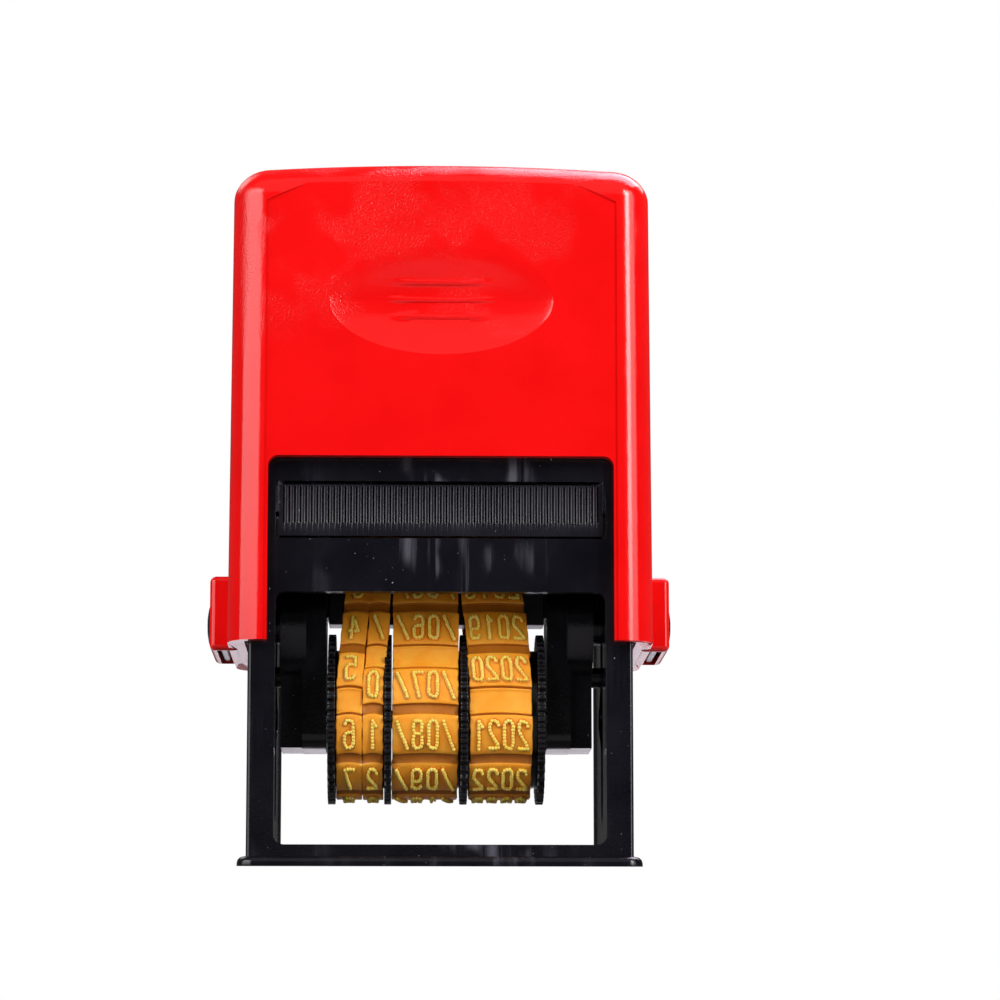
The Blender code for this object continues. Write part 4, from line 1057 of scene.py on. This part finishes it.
def make_felt():
    """The inked felt: a soft-edged pad, a little full below and uneven like pressed fibre."""
    low, high = millimetres("ink_felt")
    half = (high - low) / 2
    middle = (high + low) / 2
    bm = bmesh.new()
    bmesh.ops.create_cube(bm, size=2.0)
    bmesh.ops.subdivide_edges(bm, edges=bm.edges[:], cuts=FELT_CUTS, use_grid_fill=True)
    rng = random.Random("felt")
    for vert in bm.verts:
        x, y, z = vert.co
        fall = max(0.0, max(abs(x), abs(y)) - FELT_EDGE) / FELT_EDGE_RUN
        fullness = 1.0 - FELT_FALL * fall ** 2 - rng.uniform(0.0, FELT_FIBRE)
        squeeze = 1.0 - FELT_TUCK * abs(z) ** 6
        vert.co = (middle.x + x * half.x * squeeze, middle.y + y * half.y * squeeze,
                   middle.z + z * half.z * (fullness if z < 0 else 1.0))
    bmesh.ops.scale(bm, vec=(MM, MM, MM), verts=bm.verts)
    mesh = bpy.data.meshes.new("felt_pad")
    bm.to_mesh(mesh)
    bm.free()
    mesh.shade_smooth()
    felt = new_object("felt_pad", mesh, FELT)
    adopt(felt, "ink_felt")


make_spring()
make_felt()


# ---------------------------------------------------------------- floor, light and camera

# Lengths and places of the set are in metres, but millimetres for the camera.
FLOOR_HALF = 3.0
PAPER_Z = -0.00005
PALE = (0.86, 0.86, 0.86)
WHITE = (1.0, 1.0, 1.0)
THROWN_IN_FRONT = (0.20, 0.20, 0.20)
THROWN_BEHIND = (0.80, 0.80, 0.80)
THROWN_RUN = (0.0, 0.10)
FAR_FLOOR = (0.30, 0.60)
FAR_GLOW = 0.80
BACKDROP_RUN = (-0.15, 0.35)
BACKDROP_DIM = 0.03
BACKDROP_BRIGHT = 0.07
WALL_DISTANCE = 0.60
WALL_LEVELS = (-0.06, 0.12, 0.20, 0.30, 0.50)
# Each wall: its two edges in degrees left of straight ahead, and its radiance by level.
LIGHT_WALLS = {
    "left": (22.0, 80.0, (2.2, 3.1, 4.0, 4.9)),
    "right": (-68.0, -50.0, (2.0, 2.6, 3.1, 3.6)),
    "right_edge": (-50.0, -38.0, (5.0, 9.5, 16.0, 21.0)),
}
# Each lamp: place, aim, width, height, radiance and tint.
LAMPS = {
    "overhead": ((0.19, 0.15, 0.44), (0.19, 0.15, 0.0), 0.34, 0.38, 6.5, (0.95, 0.84, 1.0)),
    "front_glow": ((0.0, -0.34, 0.46), (0.0, 0.0, 0.07), 0.90, 0.52, 0.34, WHITE),
    "back_left": ((-0.42, 0.46, 0.56), (0.0, 0.0, 0.05), 0.40, 0.30, 2.6, WHITE),
    "back_right": ((0.42, 0.46, 0.56), (0.0, 0.0, 0.05), 0.40, 0.30, 2.6, WHITE),
}
EYE = (-5.6, -522.0, -31.0)
AIM = (7.9, -17.0, 48.9)
LENS = 137.7
SENSOR = 36.0


def two_sided(tree, above, below):
    """Show one shader on a sheet's upper side and another on its underside."""
    sides = tree.nodes.new("ShaderNodeNewGeometry")
    mix = tree.nodes.new("ShaderNodeMixShader")
    tree.links.new(sides.outputs["Backfacing"], mix.inputs["Fac"])
    tree.links.new(above, mix.inputs[1])
    tree.links.new(below, mix.inputs[2])
    tree.links.new(mix.outputs["Shader"], tree.nodes["Material Output"].inputs["Surface"])


def floor_material():
    """Pale matt floor seen from above; a look from under it goes through.

    What it throws back onto the stamp is weak in front and strong behind. Far from the stamp
    it glows for the camera, so that a view from above ends in white.
    """
    material, tree, shader, where = new_material("floor")
    behind = remap(tree, axis_value(tree, where, "Y"), *THROWN_RUN, 0.0, 1.0, smooth=True)
    thrown = blend_colours(tree, behind, THROWN_IN_FRONT, THROWN_BEHIND)
    seen = tree.nodes.new("ShaderNodeLightPath").outputs["Is Camera Ray"]
    tree.links.new(blend_colours(tree, seen, thrown, PALE), shader.inputs["Base Color"])
    shader.inputs["Roughness"].default_value = 0.7
    shader.inputs["Specular IOR Level"].default_value = 0.2
    distance = tree.nodes.new("ShaderNodeVectorMath")
    distance.operation = "LENGTH"
    tree.links.new(where, distance.inputs[0])
    far = remap(tree, distance.outputs["Value"], *FAR_FLOOR, 0.0, FAR_GLOW, smooth=True)
    shader.inputs["Emission Color"].default_value = (*WHITE, 1.0)
    tree.links.new(combine(tree, "MULTIPLY", far, seen), shader.inputs["Emission Strength"])
    clear = tree.nodes.new("ShaderNodeBsdfTransparent")
    two_sided(tree, shader.outputs["BSDF"], clear.outputs["BSDF"])
    return material


def paper_material():
    """A sheet under the foot: pale above, and white with its own light underneath."""
    material, tree, shader, _ = new_material("paper")
    shader.inputs["Base Color"].default_value = (*PALE, 1.0)
    glow = tree.nodes.new("ShaderNodeEmission")
    two_sided(tree, shader.outputs["BSDF"], glow.outputs["Emission"])
    return material


def flat_sheet(name, half_x, half_y, z, material):
    """A level rectangle facing up, part of the set and not of the stamp."""
    bm = bmesh.new()
    corners = ((-half_x, -half_y), (half_x, -half_y), (half_x, half_y), (-half_x, half_y))
    bm.faces.new([bm.verts.new((x, y, z)) for x, y in corners])
    mesh = bpy.data.meshes.new(name)
    bm.to_mesh(mesh)
    bm.free()
    sheet = new_object(name, mesh, material)


def soft_box(name, place, aim, width, height, radiance, tint=WHITE):
    """A rectangular studio light as bright as radiance says."""
    light = bpy.data.lights.new(name, "AREA")
    light.shape = "RECTANGLE"
    light.size = width
    light.size_y = height
    light.energy = radiance * math.pi * width * height
    light.color = tint
    obj = bpy.data.objects.new(name, light)
    bpy.context.scene.collection.objects.link(obj)
    obj.location = place
    obj.rotation_mode = "QUATERNION"
    obj.rotation_quaternion = (Vector(aim) - Vector(place)).to_track_quat("-Z", "Y")
    obj.visible_camera = False


def light_wall(name, first, last, radiances):
    """An upright studio light between two angles about the stamp, brighter higher up."""
    middle = math.radians((first + last) / 2)
    half = math.radians((last - first) / 2)
    x, y = -WALL_DISTANCE * math.sin(middle), -WALL_DISTANCE * math.cos(middle)
    width = 2 * WALL_DISTANCE * math.tan(half)
    for i, radiance in enumerate(radiances):
        low, high = WALL_LEVELS[i], WALL_LEVELS[i + 1]
        z = (low + high) / 2
        soft_box(f"{name}_{i}", (x, y, z), (0.0, 0.0, z), width, high - low, radiance)


def make_world():
    """Studio backdrop: white to the camera, dim to the stamp and a little less so behind it."""
    world = bpy.data.worlds.new("studio")
    bpy.context.scene.world = world
    world.use_nodes = True
    tree = world.node_tree
    backdrop = tree.nodes["Background"]
    where = tree.nodes.new("ShaderNodeTexCoord").outputs["Generated"]
    behind = remap(tree, axis_value(tree, where, "Y"), *BACKDROP_RUN, BACKDROP_DIM,
                   BACKDROP_BRIGHT, smooth=True)
    seen = tree.nodes.new("ShaderNodeLightPath").outputs["Is Camera Ray"]
    strength = combine(tree, "MAXIMUM", behind, seen)
    tree.links.new(strength, backdrop.inputs["Strength"])
    backdrop.inputs["Color"].default_value = (*WHITE, 1.0)


def make_camera():
    """The camera: low, near, a little to the left."""
    data = bpy.data.cameras.new("camera")
    data.sensor_width = SENSOR
    data.lens = LENS
    camera = bpy.data.objects.new("camera", data)
    bpy.context.scene.collection.objects.link(camera)
    place = Vector(EYE) * MM
    camera.location = place
    camera.rotation_mode = "QUATERNION"
    camera.rotation_quaternion = (Vector(AIM) * MM - place).to_track_quat("-Z", "Y")
    bpy.context.scene.camera = camera


foot_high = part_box("base_frame")[1]
flat_sheet("floor", FLOOR_HALF, FLOOR_HALF, 0.0, floor_material())
flat_sheet("paper", foot_high.x, foot_high.y, PAPER_Z, paper_material())
for name, wall in LIGHT_WALLS.items():
    light_wall(name, *wall)
for name, lamp in LAMPS.items():
    soft_box(name, *lamp)
make_world()
make_camera()
bpy.context.scene.view_settings.view_transform = "Standard"
